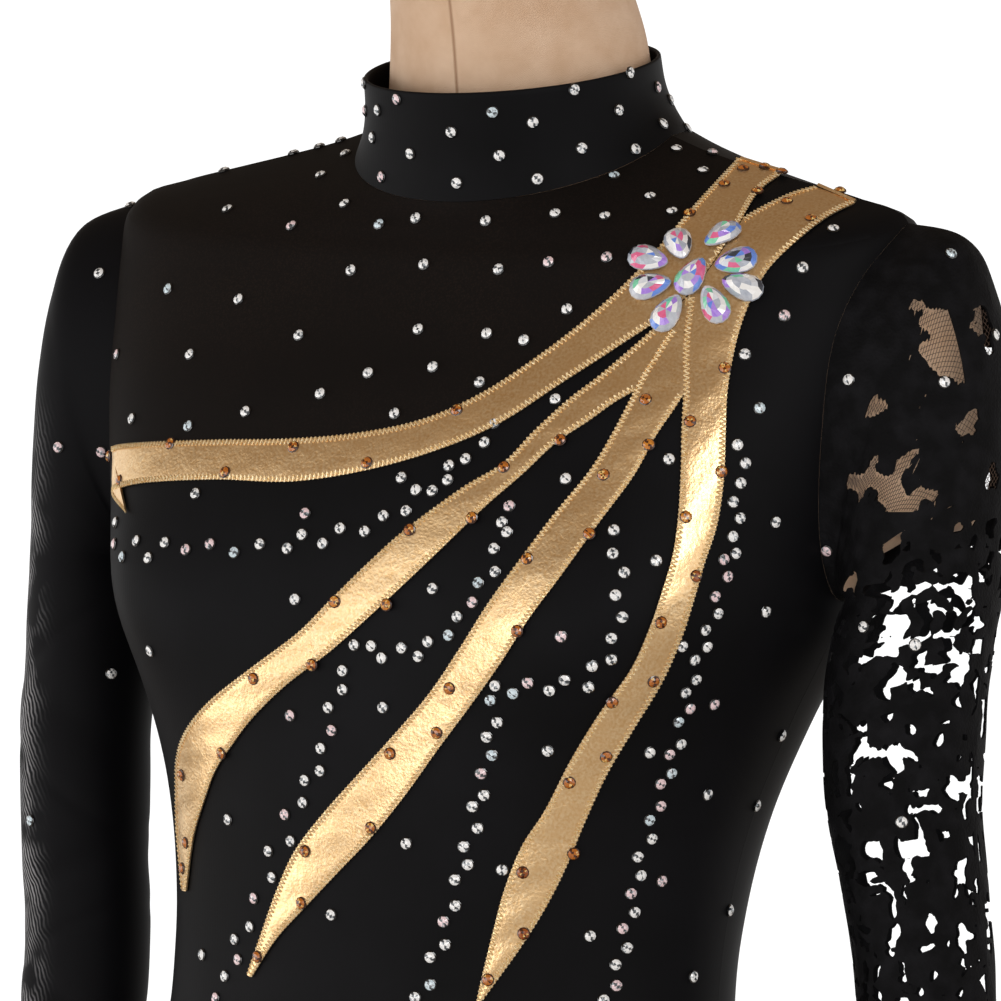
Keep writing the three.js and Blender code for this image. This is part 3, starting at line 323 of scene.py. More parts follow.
def on_front(x, y):
    """The (across, at) of the front panels that shows at pixels: the nearest try, then Newton's steps."""
    target = np.stack([np.asarray(x, float), np.asarray(y, float)], -1)
    across, at = (g.ravel() for g in np.meshgrid(np.linspace(-1, 1, 81), np.linspace(6, NECK_ROW, 66)))
    facing = (body_normal(front_turn(across, at), at) * unit(EYE - front_point(across, at))).sum(-1) > 0
    across, at = across[facing], at[facing]
    tries = seen(front_point(across, at))
    parts = np.array_split(target, len(target) // 400 + 1)
    near = np.concatenate([((tries[None] - part[:, None]) ** 2).sum(-1).argmin(1) for part in parts])
    across, at = across[near], at[near]
    side_step, row_step, edge_on = 0.01, 0.02, 50
    for _ in range(8):
        here = seen(front_point(across, at))
        a = (seen(front_point(across + side_step, at)) - here) / side_step
        b = (seen(front_point(across, np.minimum(at + row_step, NECK_ROW))) - here) / row_step
        det = a[:, 0] * b[:, 1] - a[:, 1] * b[:, 0]
        e = target - here
        det = np.where(np.abs(det) < edge_on, np.inf, det)
        to_across = np.clip(across + (e[:, 0] * b[:, 1] - e[:, 1] * b[:, 0]) / det, -1, 1)
        to_at = np.clip(at + (a[:, 0] * e[:, 1] - a[:, 1] * e[:, 0]) / det, 2, NECK_ROW - 0.001)
        there = seen(front_point(to_across, to_at))
        better = ((target - there) ** 2).sum(-1) < ((target - here) ** 2).sum(-1)
        across = np.where(better, to_across, across)
        at = np.where(better, to_at, at)
    return across, at


# Meshes.
def shell(outer, inner, field=None, looped=False, uv=None):
    """A closed wall between two grids of points, kept where the field is above 0.

    Each cell is two triangles. One that the field's zero line crosses is cut there, at the share of each
    edge that the values at its ends give. Every free edge of the outer face gets a rim down to the inner one.
    Returns the points, the triangles and each point's pattern coordinates.
    """
    across, along = outer.shape[:2]
    ids = np.arange(across * along).reshape(across, along)
    if looped:
        ids = np.vstack([ids, ids[:1]])
    a, b, c, d = ids[:-1, :-1], ids[1:, :-1], ids[1:, 1:], ids[:-1, 1:]
    tri = np.concatenate([np.stack([a, b, c], -1).reshape(-1, 3), np.stack([a, c, d], -1).reshape(-1, 3)])
    flat = np.zeros((across, along, 2)) if uv is None else uv
    points = np.concatenate([outer, inner, flat], -1).reshape(-1, 8)
    if field is not None:
        value = field.ravel()
        inside = value[tri] > 0
        count = inside.sum(1)
        turned = np.array([[0, 1, 2], [1, 2, 0], [2, 0, 1]])
        one = np.take_along_axis(tri[count == 1], turned[inside[count == 1].argmax(1)], 1)
        two = np.take_along_axis(tri[count == 2], turned[(~inside[count == 2]).argmax(1)], 1)
        cut = np.concatenate([one[:, [0, 1]], one[:, [0, 2]], two[:, [0, 1]], two[:, [0, 2]]])
        cut, back = np.unique(np.sort(cut, 1), axis=0, return_inverse=True)
        share = value[cut[:, 0]] / (value[cut[:, 0]] - value[cut[:, 1]])
        fresh = points[cut[:, 0]] + share[:, None] * (points[cut[:, 1]] - points[cut[:, 0]])
        back = back.ravel() + len(points)
        points = np.concatenate([points, fresh])
        one_b, one_c = back[: len(one)], back[len(one) : 2 * len(one)]
        two_b, two_c = back[2 * len(one) : 2 * len(one) + len(two)], back[2 * len(one) + len(two) :]
        tri = np.concatenate([
            tri[count == 3],
            np.stack([one[:, 0], one_b, one_c], -1),
            np.stack([two_b, two[:, 1], two[:, 2]], -1),
            np.stack([two_b, two[:, 2], two_c], -1),
        ])
    used, tri = np.unique(tri, return_inverse=True)
    tri = tri.reshape(-1, 3)
    points = points[used]
    total = len(points)
    start = tri[:, [0, 1, 2]].ravel()
    stop = tri[:, [1, 2, 0]].ravel()
    free = ~np.isin(start * total + stop, stop * total + start)
    start, stop = start[free], stop[free]
    rim = np.concatenate([
        np.stack([stop, start, start + total], -1),
        np.stack([stop, start + total, stop + total], -1),
    ])
    faces = np.concatenate([tri, tri[:, ::-1] + total, rim])
    return np.concatenate([points[:, :3], points[:, 3:6]]), faces, np.tile(points[:, 6:], (2, 1))


def make_piece(name, points, faces, material, slot, node=None, uv=None, shades=None, sharp=40):
    """A mesh object on the body, points in millimetres, faces outwards, smooth but for sharp edges."""
    corners = points[faces[:, :3]]
    volume = (corners[:, 0] * np.cross(corners[:, 1], corners[:, 2])).sum()
    faces = faces[:, ::-1] if volume < 0 else faces
    mesh = bpy.data.meshes.new(name)
    mesh.from_pydata((points * MM).tolist(), [], faces.tolist())
    mesh.polygons.foreach_set("use_smooth", np.full(len(faces), sharp > 0))
    if sharp > 0:
        mesh.set_sharp_from_angle(angle=math.radians(sharp))
    if uv is not None:
        loops = np.zeros(len(mesh.loops), np.int32)
        mesh.loops.foreach_get("vertex_index", loops)
        mesh.uv_layers.new(name="Cloth").data.foreach_set("uv", (uv[loops] * MM).ravel())
    if shades is not None:
        colours = mesh.attributes.new("Shade", "FLOAT_COLOR", "FACE")
        colours.data.foreach_set("color", shades.ravel())
    mesh.materials.append(material)
    piece = bpy.data.objects.new(name, mesh)
    bpy.context.scene.collection.objects.link(piece)
    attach(piece, "root")
    if node:
        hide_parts(node)
    return piece


def capped_tube(grid):
    """Points and triangles of a grid of rings, round its first axis, with a fan closing each end."""
    count, along = grid.shape[:2]
    ids = np.arange(count * along).reshape(count, along)
    following = np.roll(ids, -1, 0)
    quads = np.stack([ids[:, :-1], following[:, :-1], following[:, 1:], ids[:, 1:]], -1).reshape(-1, 4)
    points = np.concatenate([grid.reshape(-1, 3), [grid[:, 0].mean(0)], [grid[:, -1].mean(0)]])
    centre = count * along
    caps = [
        np.stack([following[:, 0], ids[:, 0], centre + 0 * ids[:, 0]], -1),
        np.stack([ids[:, -1], following[:, -1], centre + 1 + 0 * ids[:, 0]], -1),
    ]
    return points, np.concatenate([quads[:, [0, 1, 2]], quads[:, [0, 2, 3]], *caps])


def as_cloth(piece):
    """Reads the areas of the piece's faces, and does nothing more with them."""
    areas = np.zeros(len(piece.data.polygons))
    piece.data.polygons.foreach_get("area", areas)


# Finishes.
def linear(code):
    """An sRGB hex colour as the linear colour that the shader takes."""
    parts = np.array([int(code[i : i + 2], 16) for i in (1, 3, 5)]) / 255
    low = parts / 12.92
    high = ((parts + 0.055) / 1.055) ** 2.4
    return (*np.where(parts <= 0.04045, low, high).tolist(), 1.0)


class Nodes:
    """A tree of shader nodes and the wiring that the finishes and the world share."""

    def __init__(self, tree):
        self.tree = tree

    def add(self, kind, settings):
        """A node. A setting is a property's or a socket's value, or a socket that is linked there."""
        made = self.tree.nodes.new("ShaderNode" + kind)
        for key, value in settings.items():
            if isinstance(value, bpy.types.NodeSocket):
                self.tree.links.new(value, made.inputs[key])
            elif isinstance(key, str) and hasattr(made, key):
                setattr(made, key, value)
            else:
                made.inputs[key].default_value = value
        return made

    def math(self, operation, *terms):
        """The result of an operation on sockets and numbers."""
        return self.add("Math", {"operation": operation, **dict(enumerate(terms))}).outputs[0]

    def blend(self, amount, first, second):
        """A colour that goes from the first to the second as the amount goes from 0 to 1."""
        first, second = (linear(tone) if isinstance(tone, str) else tone for tone in (first, second))
        return self.add("Mix", {"data_type": "RGBA", 0: amount, 6: first, 7: second}).outputs[2]

    def ramp(self, source, low, high):
        """The source, stretched so that low gives 0 and high gives 1, and held there."""
        return self.add("MapRange", {"clamp": True, 0: source, 1: low, 2: high}).outputs[0]


class Finish(Nodes):
    """A material. Its settings are the same all over it; its patterns are sized in millimetres."""

    def __init__(self, name, **settings):
        self.material = bpy.data.materials.new(name)
        self.material.use_nodes = True
        super().__init__(self.material.node_tree)
        self.shader = self.tree.nodes["Principled BSDF"]
        for key, value in settings.items():
            self.shader.inputs[key.replace("_", " ").title().replace("Ior", "IOR")].default_value = value
        self.place = self.add("TexCoord", {}).outputs["Object"]

    def noise(self, size, detail=2.0, place=None):
        """Clouds about as large as size."""
        place = self.place if place is None else place
        return self.add("TexNoise", {"Scale": per_mm(size), "Detail": detail, "Vector": place}).outputs[0]

    def cells(self, size):
        """The distance from the nearest of points that lie about size apart."""
        return self.add("TexVoronoi", {"Scale": per_mm(size), "Vector": self.place}).outputs[0]

    def finished(self, tone, height=None, distance=0, strength=1.0):
        """The material with its colour, and with a relief of so many millimetres where there is one."""
        self.tree.links.new(tone, self.shader.inputs["Base Color"])
        if height is not None:
            settings = {"Strength": strength, "Distance": distance * MM, "Height": height}
            self.tree.links.new(self.add("Bump", settings).outputs[0], self.shader.inputs["Normal"])
        return self.material


def per_mm(size):
    """The scale at which a pattern in metres repeats once in so many millimetres."""
    return 1 / (size * MM)


def stretch_knit():
    """Nylon and elastane warp knit, dull black. Its fine wales are drawn coarser, so that they show."""
    look = Finish("warp_knit_nylon_elastane", roughness=0.6, specular_ior_level=0.09)
    tone = look.blend(look.ramp(look.noise(60, 3.0), 0.35, 0.7), "#09090B", "#0F0F12")
    wales = look.add("TexWave", {"Scale": per_mm(0.9) / 6.28, "Distortion": 1.5, "Vector": look.place})
    return look.finished(tone, wales.outputs[1], 0.05, 0.25)


def power_mesh():
    """Fine power mesh over the canvas: holes 0.5 mm wide, drawn at 1 mm, let a little tan through."""
    look = Finish("knitted_power_mesh", roughness=0.7, specular_ior_level=0.08)
    holes = look.cells(1.0)
    dots = look.blend(look.ramp(holes, 0.5, 0.15), "#15110F", "#231B17")
    tone = look.blend(look.ramp(look.noise(90), 0.3, 0.75), "#120F0E", dots)
    return look.finished(tone, holes, 0.05, 0.3)


def sleeve_mesh():
    """Two layers of sheer mesh beat against each other: grey moiré streaks run down its outer side, painted
    light of the bright room behind showing through both layers.
    """
    look = Finish("sheer_sleeve_mesh", roughness=0.6, specular_ior_level=0.08)
    cloth = look.place.node.outputs["UV"]
    slanting = look.add("Mapping", {"Rotation": (0, 0, 0.5), "Vector": cloth}).outputs[0]
    wave = {"Scale": per_mm(1.2) / 6.28, "Distortion": 6.0, "Detail": 2.0, "Detail Scale": 0.8}
    streak = look.add("TexWave", {**wave, "Vector": slanting}).outputs[1]
    patch = look.noise(22, place=cloth)
    # This attribute says where the painted light from the room behind shows: the sleeve's outer sides, lower
    # down.
    outer = look.add("Attribute", {"attribute_name": "PaintedBacklight"}).outputs["Fac"]
    where = look.math("MULTIPLY", look.ramp(patch, 0.38, 0.58), outer)
    amount = look.math("MULTIPLY", look.ramp(streak, 0.35, 0.95), where)
    return look.finished(look.blend(amount, "#0C0C0F", "#A4A4A8"), patch, 0.04, 0.2)


def corded_lace():
    """Black nylon lace: flat cords 1 mm wide packed side by side, duller than the knit."""
    look = Finish("nylon_floral_lace", roughness=0.75, specular_ior_level=0.1)
    tone = look.blend(look.ramp(look.noise(9, 3.0), 0.4, 0.75), "#0A0A0C", "#17171A")
    return look.finished(tone, look.cells(1.3), 0.35, 0.6)


def net_thread():
    """Thin nylon net thread, dark brown where light comes through it."""
    look = Finish("nylon_net_thread", roughness=0.6)
    return look.finished(look.blend(look.noise(5), "#33261E", "#5C483B"))


def chiffon():
    """Black crepe chiffon, with the fine pebble of its twisted yarns."""
    look = Finish("crepe_chiffon", roughness=0.75, specular_ior_level=0.2)
    pebble = look.noise(1.4, 3.0)
    return look.finished(look.blend(pebble, "#0D0D10", "#18181C"), pebble, 0.12, 0.4)


def gold_foil():
    """Gold foil pressed on stretch knit: the knit's grain and soft creases break its shine."""
    look = Finish("foil_on_stretch_knit", roughness=0.31, metallic=0.92)
    grain = look.noise(1.2)
    crease = look.noise(9, 3.0)
    tone = look.blend(look.ramp(grain, 0.3, 0.72), "#E9BE85", "#FCDFB2")
    worn = look.blend(look.ramp(crease, 0.45, 0.8), tone, "#F3CD98")
    return look.finished(worn, look.math("MULTIPLY_ADD", crease, 3.0, grain), 0.2, 0.75)


def gold_thread():
    """Metallised embroidery thread, pale where its turns catch the light."""
    look = Finish("metallised_thread", roughness=0.35, metallic=0.4)
    return look.finished(look.blend(look.ramp(look.noise(0.7), 0.35, 0.65), "#DDB470", "#FFF0CB"))


def cut_glass(name, roughness):
    """Faceted foil-backed glass: each facet has its own colour, a tint with its reflection painted in, under
    a hard clear gloss.
    """
    look = Finish(name, roughness=roughness, coat_weight=0.6, coat_roughness=0.03, ior=1.55)
    # Each facet's colour: a tint, with the reflection of the room's bright and dark sides painted in.
    tint_and_reflection = look.add("Attribute", {"attribute_name": "Shade"}).outputs["Color"]
    soft = {"data_type": "RGBA", "blend_type": "SOFT_LIGHT", 0: 0.5, 6: tint_and_reflection, 7: look.noise(1.6)}
    return look.finished(look.add("Mix", soft).outputs[2])


def linen_canvas():
    """Natural linen canvas: a plain weave drawn at 1 mm, with slubs, and a sunk seam down the front."""
    look = Finish("plain_weave_linen", roughness=0.85, sheen_weight=0.1)
    apart = look.add("SeparateXYZ", {0: look.place}).outputs
    scale = 2 * math.pi * per_mm(1.0)
    threads = [look.math("SINE", look.math("MULTIPLY", apart[axis], scale)) for axis in (0, 2)]
    tone = look.blend(look.ramp(look.noise(14, 4.0), 0.3, 0.75), "#CFAB8B", "#DFC0A4")
    seam = look.ramp(look.math("ABSOLUTE", apart[0]), 1.1 * MM, 0.2 * MM)
    height = look.math("MULTIPLY_ADD", seam, -6.0, look.math("MULTIPLY", *threads))
    return look.finished(look.blend(seam, tone, "#A98568"), height, 0.08, 0.5)


def brushed_steel():
    """Brushed steel: scratches 0.4 mm apart run round the pole and the base, drawn at 1 mm."""
    look = Finish("brushed_steel", roughness=0.32, metallic=1.0)
    round_it = look.add("Mapping", {"Scale": (1.0, 1.0, 40.0), "Vector": look.place}).outputs[0]
    lines = look.noise(40, 3.0, round_it)
    return look.finished(look.blend(lines, "#A4A7AB", "#D2D4D6"), lines, 0.03, 0.3)


KNIT = stretch_knit()
LACE = corded_lace()
GOLD = gold_foil()
NET = net_thread()

# The body's panels. Rows go from the leg line to the armpit, round the armhole to its tip, and to the neck.
ARMPIT_ROW = row_at(BODY, "side", HOLE_HEIGHT - HOLE_HIGH)
TIP_ROW = row_at(BODY, "side", HOLE_HEIGHT + HOLE_HIGH)
EDGE = 1 - HAIR / 200
acrosses = np.linspace(-EDGE, EDGE, 121)


def panel_rows(across):
    """Rows of a panel's columns: even to the armpit, by equal angles of the armhole's ellipse, then even."""
    leg = row_at(BODY, "side", LEG_CENTRE + LEG_RISE * np.sin(np.radians(across * 90)) ** 2)
    low = leg[:, None] + (ARMPIT_ROW - leg)[:, None] * np.linspace(0, 1, 60)[None]
    angle = np.linspace(180, 0, 57)[1:]
    hole = row_at(BODY, "side", HOLE_HEIGHT + HOLE_HIGH * np.cos(np.radians(angle)))
    high = np.linspace(TIP_ROW, NECK_ROW, 25)[1:]
    return np.hstack([low, np.tile(np.concatenate([hole, high]), (len(across), 1))])


def panel_grid(turn_of):
    """Rows, points and normals of a whole panel."""
    at = panel_rows(acrosses)
    turn = turn_of(acrosses[:, None] + 0 * at, at)
    return at, body_point(turn, at), body_normal(turn, at)


def draw_in(outer, normals):
    """A little life in the stretched cloth: shallow drag lines fan out from the armholes and the waist."""
    x, z = outer[..., 0], outer[..., 2]
    side = np.clip(np.abs(x) / 150, 0, 1)
    fan = np.sin((z - 1226 - 0.55 * (np.abs(x) - 150)) / 13.0) * np.exp(-(((z - 1190) / 46) ** 2))
    waist = np.sin((z - 1050 + 0.25 * x) / 8.5) * np.exp(-(((z - 1052) / 26) ** 2))
    edge = np.clip(4 * (1 - np.abs(acrosses)), 0, 1)[:, None]
    depth = (0.4 + 0.45 * fan * side**2 + 0.35 * waist) * side**2 * edge
    return outer - normals * depth[..., None]


front_at, front_outer, front_normals = panel_grid(front_turn)
_, back_outer, back_normals = panel_grid(back_turn)
front_face = draw_in(front_outer, front_normals)
back_face = draw_in(back_outer, back_normals)


def seam_row(across):
    """The row of the seam between yoke and bodice, under the middle of the upper ray."""
    ray = GOLD_RAYS["gold_ray_1"]
    places = on_front((ray["x1"] + ray["x2"]) / 2, (ray["y1"] + ray["y2"]) / 2)
    return np.interp(across, np.maximum.accumulate(places[0]), places[1])


def make_body():
    """Bodice, yoke and back: walls of cloth between the panel's grid and the same grid a wall further in."""
    above = front_at - seam_row(acrosses)[:, None]
    overlap = 0.0005
    front = (front_face, front_face - CLOTH * front_normals)
    back = (back_face, back_face - CLOTH * back_normals)
    rows = [
        ("bodice_front_cloth", "bodice_front", KNIT, "spandex", front, overlap - above),
        ("yoke_front_cloth", "yoke_front", power_mesh(), "sheer_mesh", front, above + overlap),
        ("bodice_back_cloth", "bodice_back", KNIT, "spandex", back, None),
    ]
    for name, node, finish, slot, (outer, inner), field in rows:
        points, faces, _ = shell(outer, inner, field)
        piece = make_piece(name, points, faces, finish, slot, node)
        as_cloth(piece)


def make_collar():
    """The collar: a double band whose profile goes up outside, round a small fold, and down inside."""
    turns = np.linspace(0, 360, 145)[:-1]
    rise = np.linspace(0, 3, 15)
    half = COLLAR_CLOTH / 2
    section = section_point(COLLAR, turns[:, None], rise[None])
    middle = column(COLLAR, "middle", rise)
    inward = unit(np.stack([0 * middle, middle], -1)[None] - section[..., :2])
    inward = np.concatenate([inward, 0 * inward[..., :1]], -1)
    fold = np.radians(np.linspace(0, 180, 7))[1:-1]
    top, way = section[:, -1:], inward[:, -1:]
    round_top = top + way * (half * (1 - np.cos(fold)))[None, :, None]
    round_top = round_top + half * np.sin(fold)[None, :, None] * LEVEL_UP
    inside = (section + COLLAR_CLOTH * inward)[:, ::-1]
    profile = np.concatenate([section, round_top, inside], 1)
    profile[:, [0, -1], 2] -= 0.5
    count, along = profile.shape[:2]
    ids = np.arange(count * along).reshape(count, along)
    following = np.roll(ids, -1, 0)
    upward = np.roll(ids, -1, 1)
    faces = np.stack([ids, following, np.roll(following, -1, 1), upward], -1).reshape(-1, 4)
    piece = make_piece("collar_band", profile.reshape(-1, 3), faces, KNIT, "spandex", "collar", sharp=60)
    as_cloth(piece)
    return section


# Sleeves: rings from the armhole's edge, through the head's fan about the armpit, down to the cuff.
HEAD_ROWS = 1 + len(LEFT_HEAD["lift"])
SLEEVE_ROUND = 175
MIRROR = np.array([-1, 1, 1])


def armhole_ring(angle, pull):
    """The panels' edge round the armhole: angle 0 is its tip, 90 its back, 180 the armpit."""
    at = row_at(BODY, "side", HOLE_HEIGHT + HOLE_HIGH * np.cos(np.radians(angle)))
    turn = np.where(angle > 0, 180 - panel_turn(at, "back"), panel_turn(at, "front"))
    p = body_point(turn, at)
    n = body_normal(turn, at)
    into = np.array([HOLE_X, HOLE_Y, HOLE_HEIGHT]) - p
    into = unit(into - (into * n).sum(-1, keepdims=True) * n)
    return p + HAIR * into - pull * n


def sleeve_rings(head, rows, steps, angle, pull):
    """All rings at these angles: ellipses in planes that fan down about the armpit, then level ones."""
    rings = [armhole_ring(angle, pull)]
    cos, sin = np.cos(np.radians(angle)), np.sin(np.radians(angle))
    for k in range(len(head["lift"])):
        lift, near, far, deep = (head[name][k] for name in ("lift", "near", "far", "deep"))
        reach = near + (far - near) / 2 + ((far - near) / 2 - pull) * cos
        x = ARMPIT_X + reach * math.cos(math.radians(lift))
        z = ARMPIT_HEIGHT + reach * math.sin(math.radians(lift))
        rings.append(np.stack([x, HOLE_Y + (deep - pull) * sin, z], -1))
    for at in np.linspace(0, len(rows["height"]) - 1, steps + 1):
        get = {name: column(rows, name, at) for name in rows}
        x = get["x"] + (get["half"] - pull) * cos
        rings.append(np.stack([x, get["y"] + (get["deep"] - pull) * sin, get["height"] + 0 * x], -1))
    return np.stack(rings, 1)


def through(rings, v):
    """A smooth surface through the rings, at fractional ring numbers, by the same cubic as column's."""
    last = rings.shape[1] - 1
    i = np.clip(np.floor(v).astype(int), 0, last - 1)
    f = (v - i)[None, :, None]
    a, b, c, d = (rings[:, np.clip(i + k, 0, last)] for k in (-1, 0, 1, 2))
    return b + 0.5 * f * (c - a + f * (2 * a - 5 * b + 4 * c - d + f * (3 * (b - c) + d - a)))


def grid_normals(grid, looped):
    """Normals of a grid by its neighbours' differences, turned away from the grid's middle line."""
    if looped:
        around = np.roll(grid, -1, 0) - np.roll(grid, 1, 0)
    else:
        around = np.gradient(grid, axis=0)
    n = unit(np.cross(around, np.gradient(grid, axis=1)))
    outward = grid - grid.mean(0, keepdims=True)
    return n * np.sign((n * outward).sum(-1).mean())


def make_right_sleeve():
    """The mesh sleeve, mirrored from the dress's left, with soft folds: bell-shaped dips round it."""
    angle = np.linspace(-180, 180, 97)[:-1]
    steps = 13
    rings = sleeve_rings(RIGHT_HEAD, RIGHT_SLEEVE, steps, angle, 0)
    v = np.concatenate([np.linspace(0, HEAD_ROWS, 60), np.linspace(HEAD_ROWS, HEAD_ROWS + steps, 201)[1:]])
    outer = through(rings, v)
    z = outer[..., 2]
    depth = 0 * z
    turn = np.radians(angle)[:, None]
    for height, spread, slant, deep in zip(*SLEEVE_FOLDS.values()):
        away = (z - height - slant * np.cos(turn)) / spread
        depth += deep * np.exp(-(away**2)) * (0.6 - 0.4 * np.cos(2 * turn))
    depth *= np.clip((ARMPIT_HEIGHT - 10 - z) / 12, 0, 1)
    # A long crease spirals down the sleeve's inner side.
    crease = np.sin((turn - 2.4 - (z - 1100) / 600) / 2) / 0.06
    depth += 0.5 * np.clip((1250 - z) / 60, 0, 1) * np.exp(-(crease**2))
    n = grid_normals(outer, True)
    outer = outer - n * depth[..., None]
    inner = outer - CLOTH * n
    uv = np.stack([np.broadcast_to(angle[:, None] / 360 * SLEEVE_ROUND, z.shape), z], -1)
    points, faces, flat = shell(outer * MIRROR, inner * MIRROR, looped=True, uv=uv)
    name = "sleeve_right_cloth"
    piece = make_piece(name, points, faces, sleeve_mesh(), "sheer_mesh", "sleeve_right_mesh", uv=flat)
    # Where the painted light from the room behind shows through the sleeve: its outer sides, below the head.
    sheer = piece.data.attributes.new("PaintedBacklight", "FLOAT", "POINT")
    at_angle = flat[:, 0] / SLEEVE_ROUND * 2 * math.pi
    side = np.exp(-(((np.abs(at_angle) - 0.65) / 0.6) ** 4))
    low = np.clip((1300 - flat[:, 1]) / 60, 0, 1)
    sheer.data.foreach_set("value", side * low)
    as_cloth(piece)
    return outer * MIRROR


# The lace sleeve. The solid's own gaps come from the first values here, as in the solids' source.
LACE_CELLS = 8
LACE_STEPS = 11
LACE_JITTER = 0.2
LACE_SHARE = 0.62
GAP_LEAST, GAP_MOST, GAP_SIDES = 3, 5.4, 6
LACE_RINGS = HEAD_ROWS + LACE_STEPS + 1
COLUMN_TURN = 180 / LACE_CELLS
LACE_CELL = math.pi * 27 / LACE_CELLS
HEAD_STEP, ARM_STEP = 22, 441 / LACE_STEPS
# The angle of the sleeve's outline in the view, and the pixel row down to which windows show the form.
SLEEVE_OUTLINE = 25.2
WINDOWS_END = 512
FLOWER_GROUND = 25
NET_PITCH, NET_THREAD = 1.7, 0.12


def chance(a, b, c):
    """A repeatable number from 0 to 1 for a place in the lace."""
    v = np.sin(a * 127.1 + b * 311.7 + c * 74.7) * 43758.5453
    return v - np.floor(v)


def lace_surface(side, u, v):
    """The sleeve's half at fractional columns and rings, with the columns' small drift that its solid has."""
    half = 1 if side > 0 else 2
    i, j = np.meshgrid(np.arange(LACE_CELLS + 1), np.arange(LACE_RINGS), indexing="ij")
    inside = (i > 0) & (i < LACE_CELLS) & (j > 0) & (j < LACE_RINGS - 1)
    drift = np.where(inside, (chance(i, j, half) - 0.5) * LACE_JITTER * COLUMN_TURN, 0)
    rings = []
    for ring in range(LACE_RINGS):
        angle = side * (COLUMN_TURN * u + np.interp(u, np.arange(LACE_CELLS + 1), drift[:, ring]))
        rings.append(sleeve_rings(LEFT_HEAD, LEFT_SLEEVE, LACE_STEPS, angle, 0)[:, ring])
    grid = through(np.stack(rings, 1), v)
    edge = np.clip(np.minimum(u, LACE_CELLS - u) * 20, 0, 1)
    grid[..., 1] += (side * HAIR * (1 - edge))[:, None]
    return grid


def rough(x, y, seed):
    """Smooth noise from 0 to 1: chances at whole places, joined by cubics."""
    i, j = np.floor(x), np.floor(y)
    f, g = x - i, y - j
    f, g = f * f * (3 - 2 * f), g * g * (3 - 2 * g)
    low = chance(i, j, seed) * (1 - f) + chance(i + 1, j, seed) * f
    high = chance(i, j + 1, seed) * (1 - f) + chance(i + 1, j + 1, seed) * f
    return low * (1 - g) + high * g


def solid_gaps(side, u, v):
    """Distance from the gaps that the lace's solid has: six-sided, their reach joined round by cosines."""
    half = 1 if side > 0 else 2
    field = np.full((len(u), len(v)), 3.0)
    for i in range(LACE_CELLS):
        for j in range(2, LACE_RINGS - 2):
            if chance(i, j, half + 5) >= LACE_SHARE:
                continue
            size = GAP_LEAST + (GAP_MOST - GAP_LEAST) * chance(i, j, half + 7)
            wide = size / (math.pi * 28 / LACE_CELLS)
            high = size * (0.9 + 0.6 * chance(i, j, half + 9)) / (HEAD_STEP if j < HEAD_ROWS else ARM_STEP)
            lean = (chance(i, j, half + 11) - 0.5) * 0.6
            rise = (chance(i, j, half + 17) - 0.5) * max(0.9 - 2.6 * high, 0)
            reach = 0.75 + 0.5 * chance(i * 7 + np.arange(GAP_SIDES), j, half + 13)
            a, b = np.searchsorted(u, [i + 0.5 - 2 * wide, i + 0.5 + 2 * wide])
            c, d = np.searchsorted(v, [j + 0.5 + rise - 2 * high, j + 0.5 + rise + 2 * high])
            du, dv = np.meshgrid(u[a:b] - i - 0.5, v[c:d] - j - 0.5 - rise, indexing="ij")
            x, y = (du - lean * dv) / wide, dv / high
            turn = (np.arctan2(y, x) / (2 * math.pi) * GAP_SIDES - 0.5) % GAP_SIDES
            k = np.floor(turn).astype(int) % GAP_SIDES
            f = (1 - np.cos((turn - np.floor(turn)) * math.pi)) / 2
            edge = reach[k] + (reach[(k + 1) % GAP_SIDES] - reach[k]) * f
            field[a:b, c:d] = np.minimum(field[a:b, c:d], (np.hypot(x, y) - edge) * size)
    return field


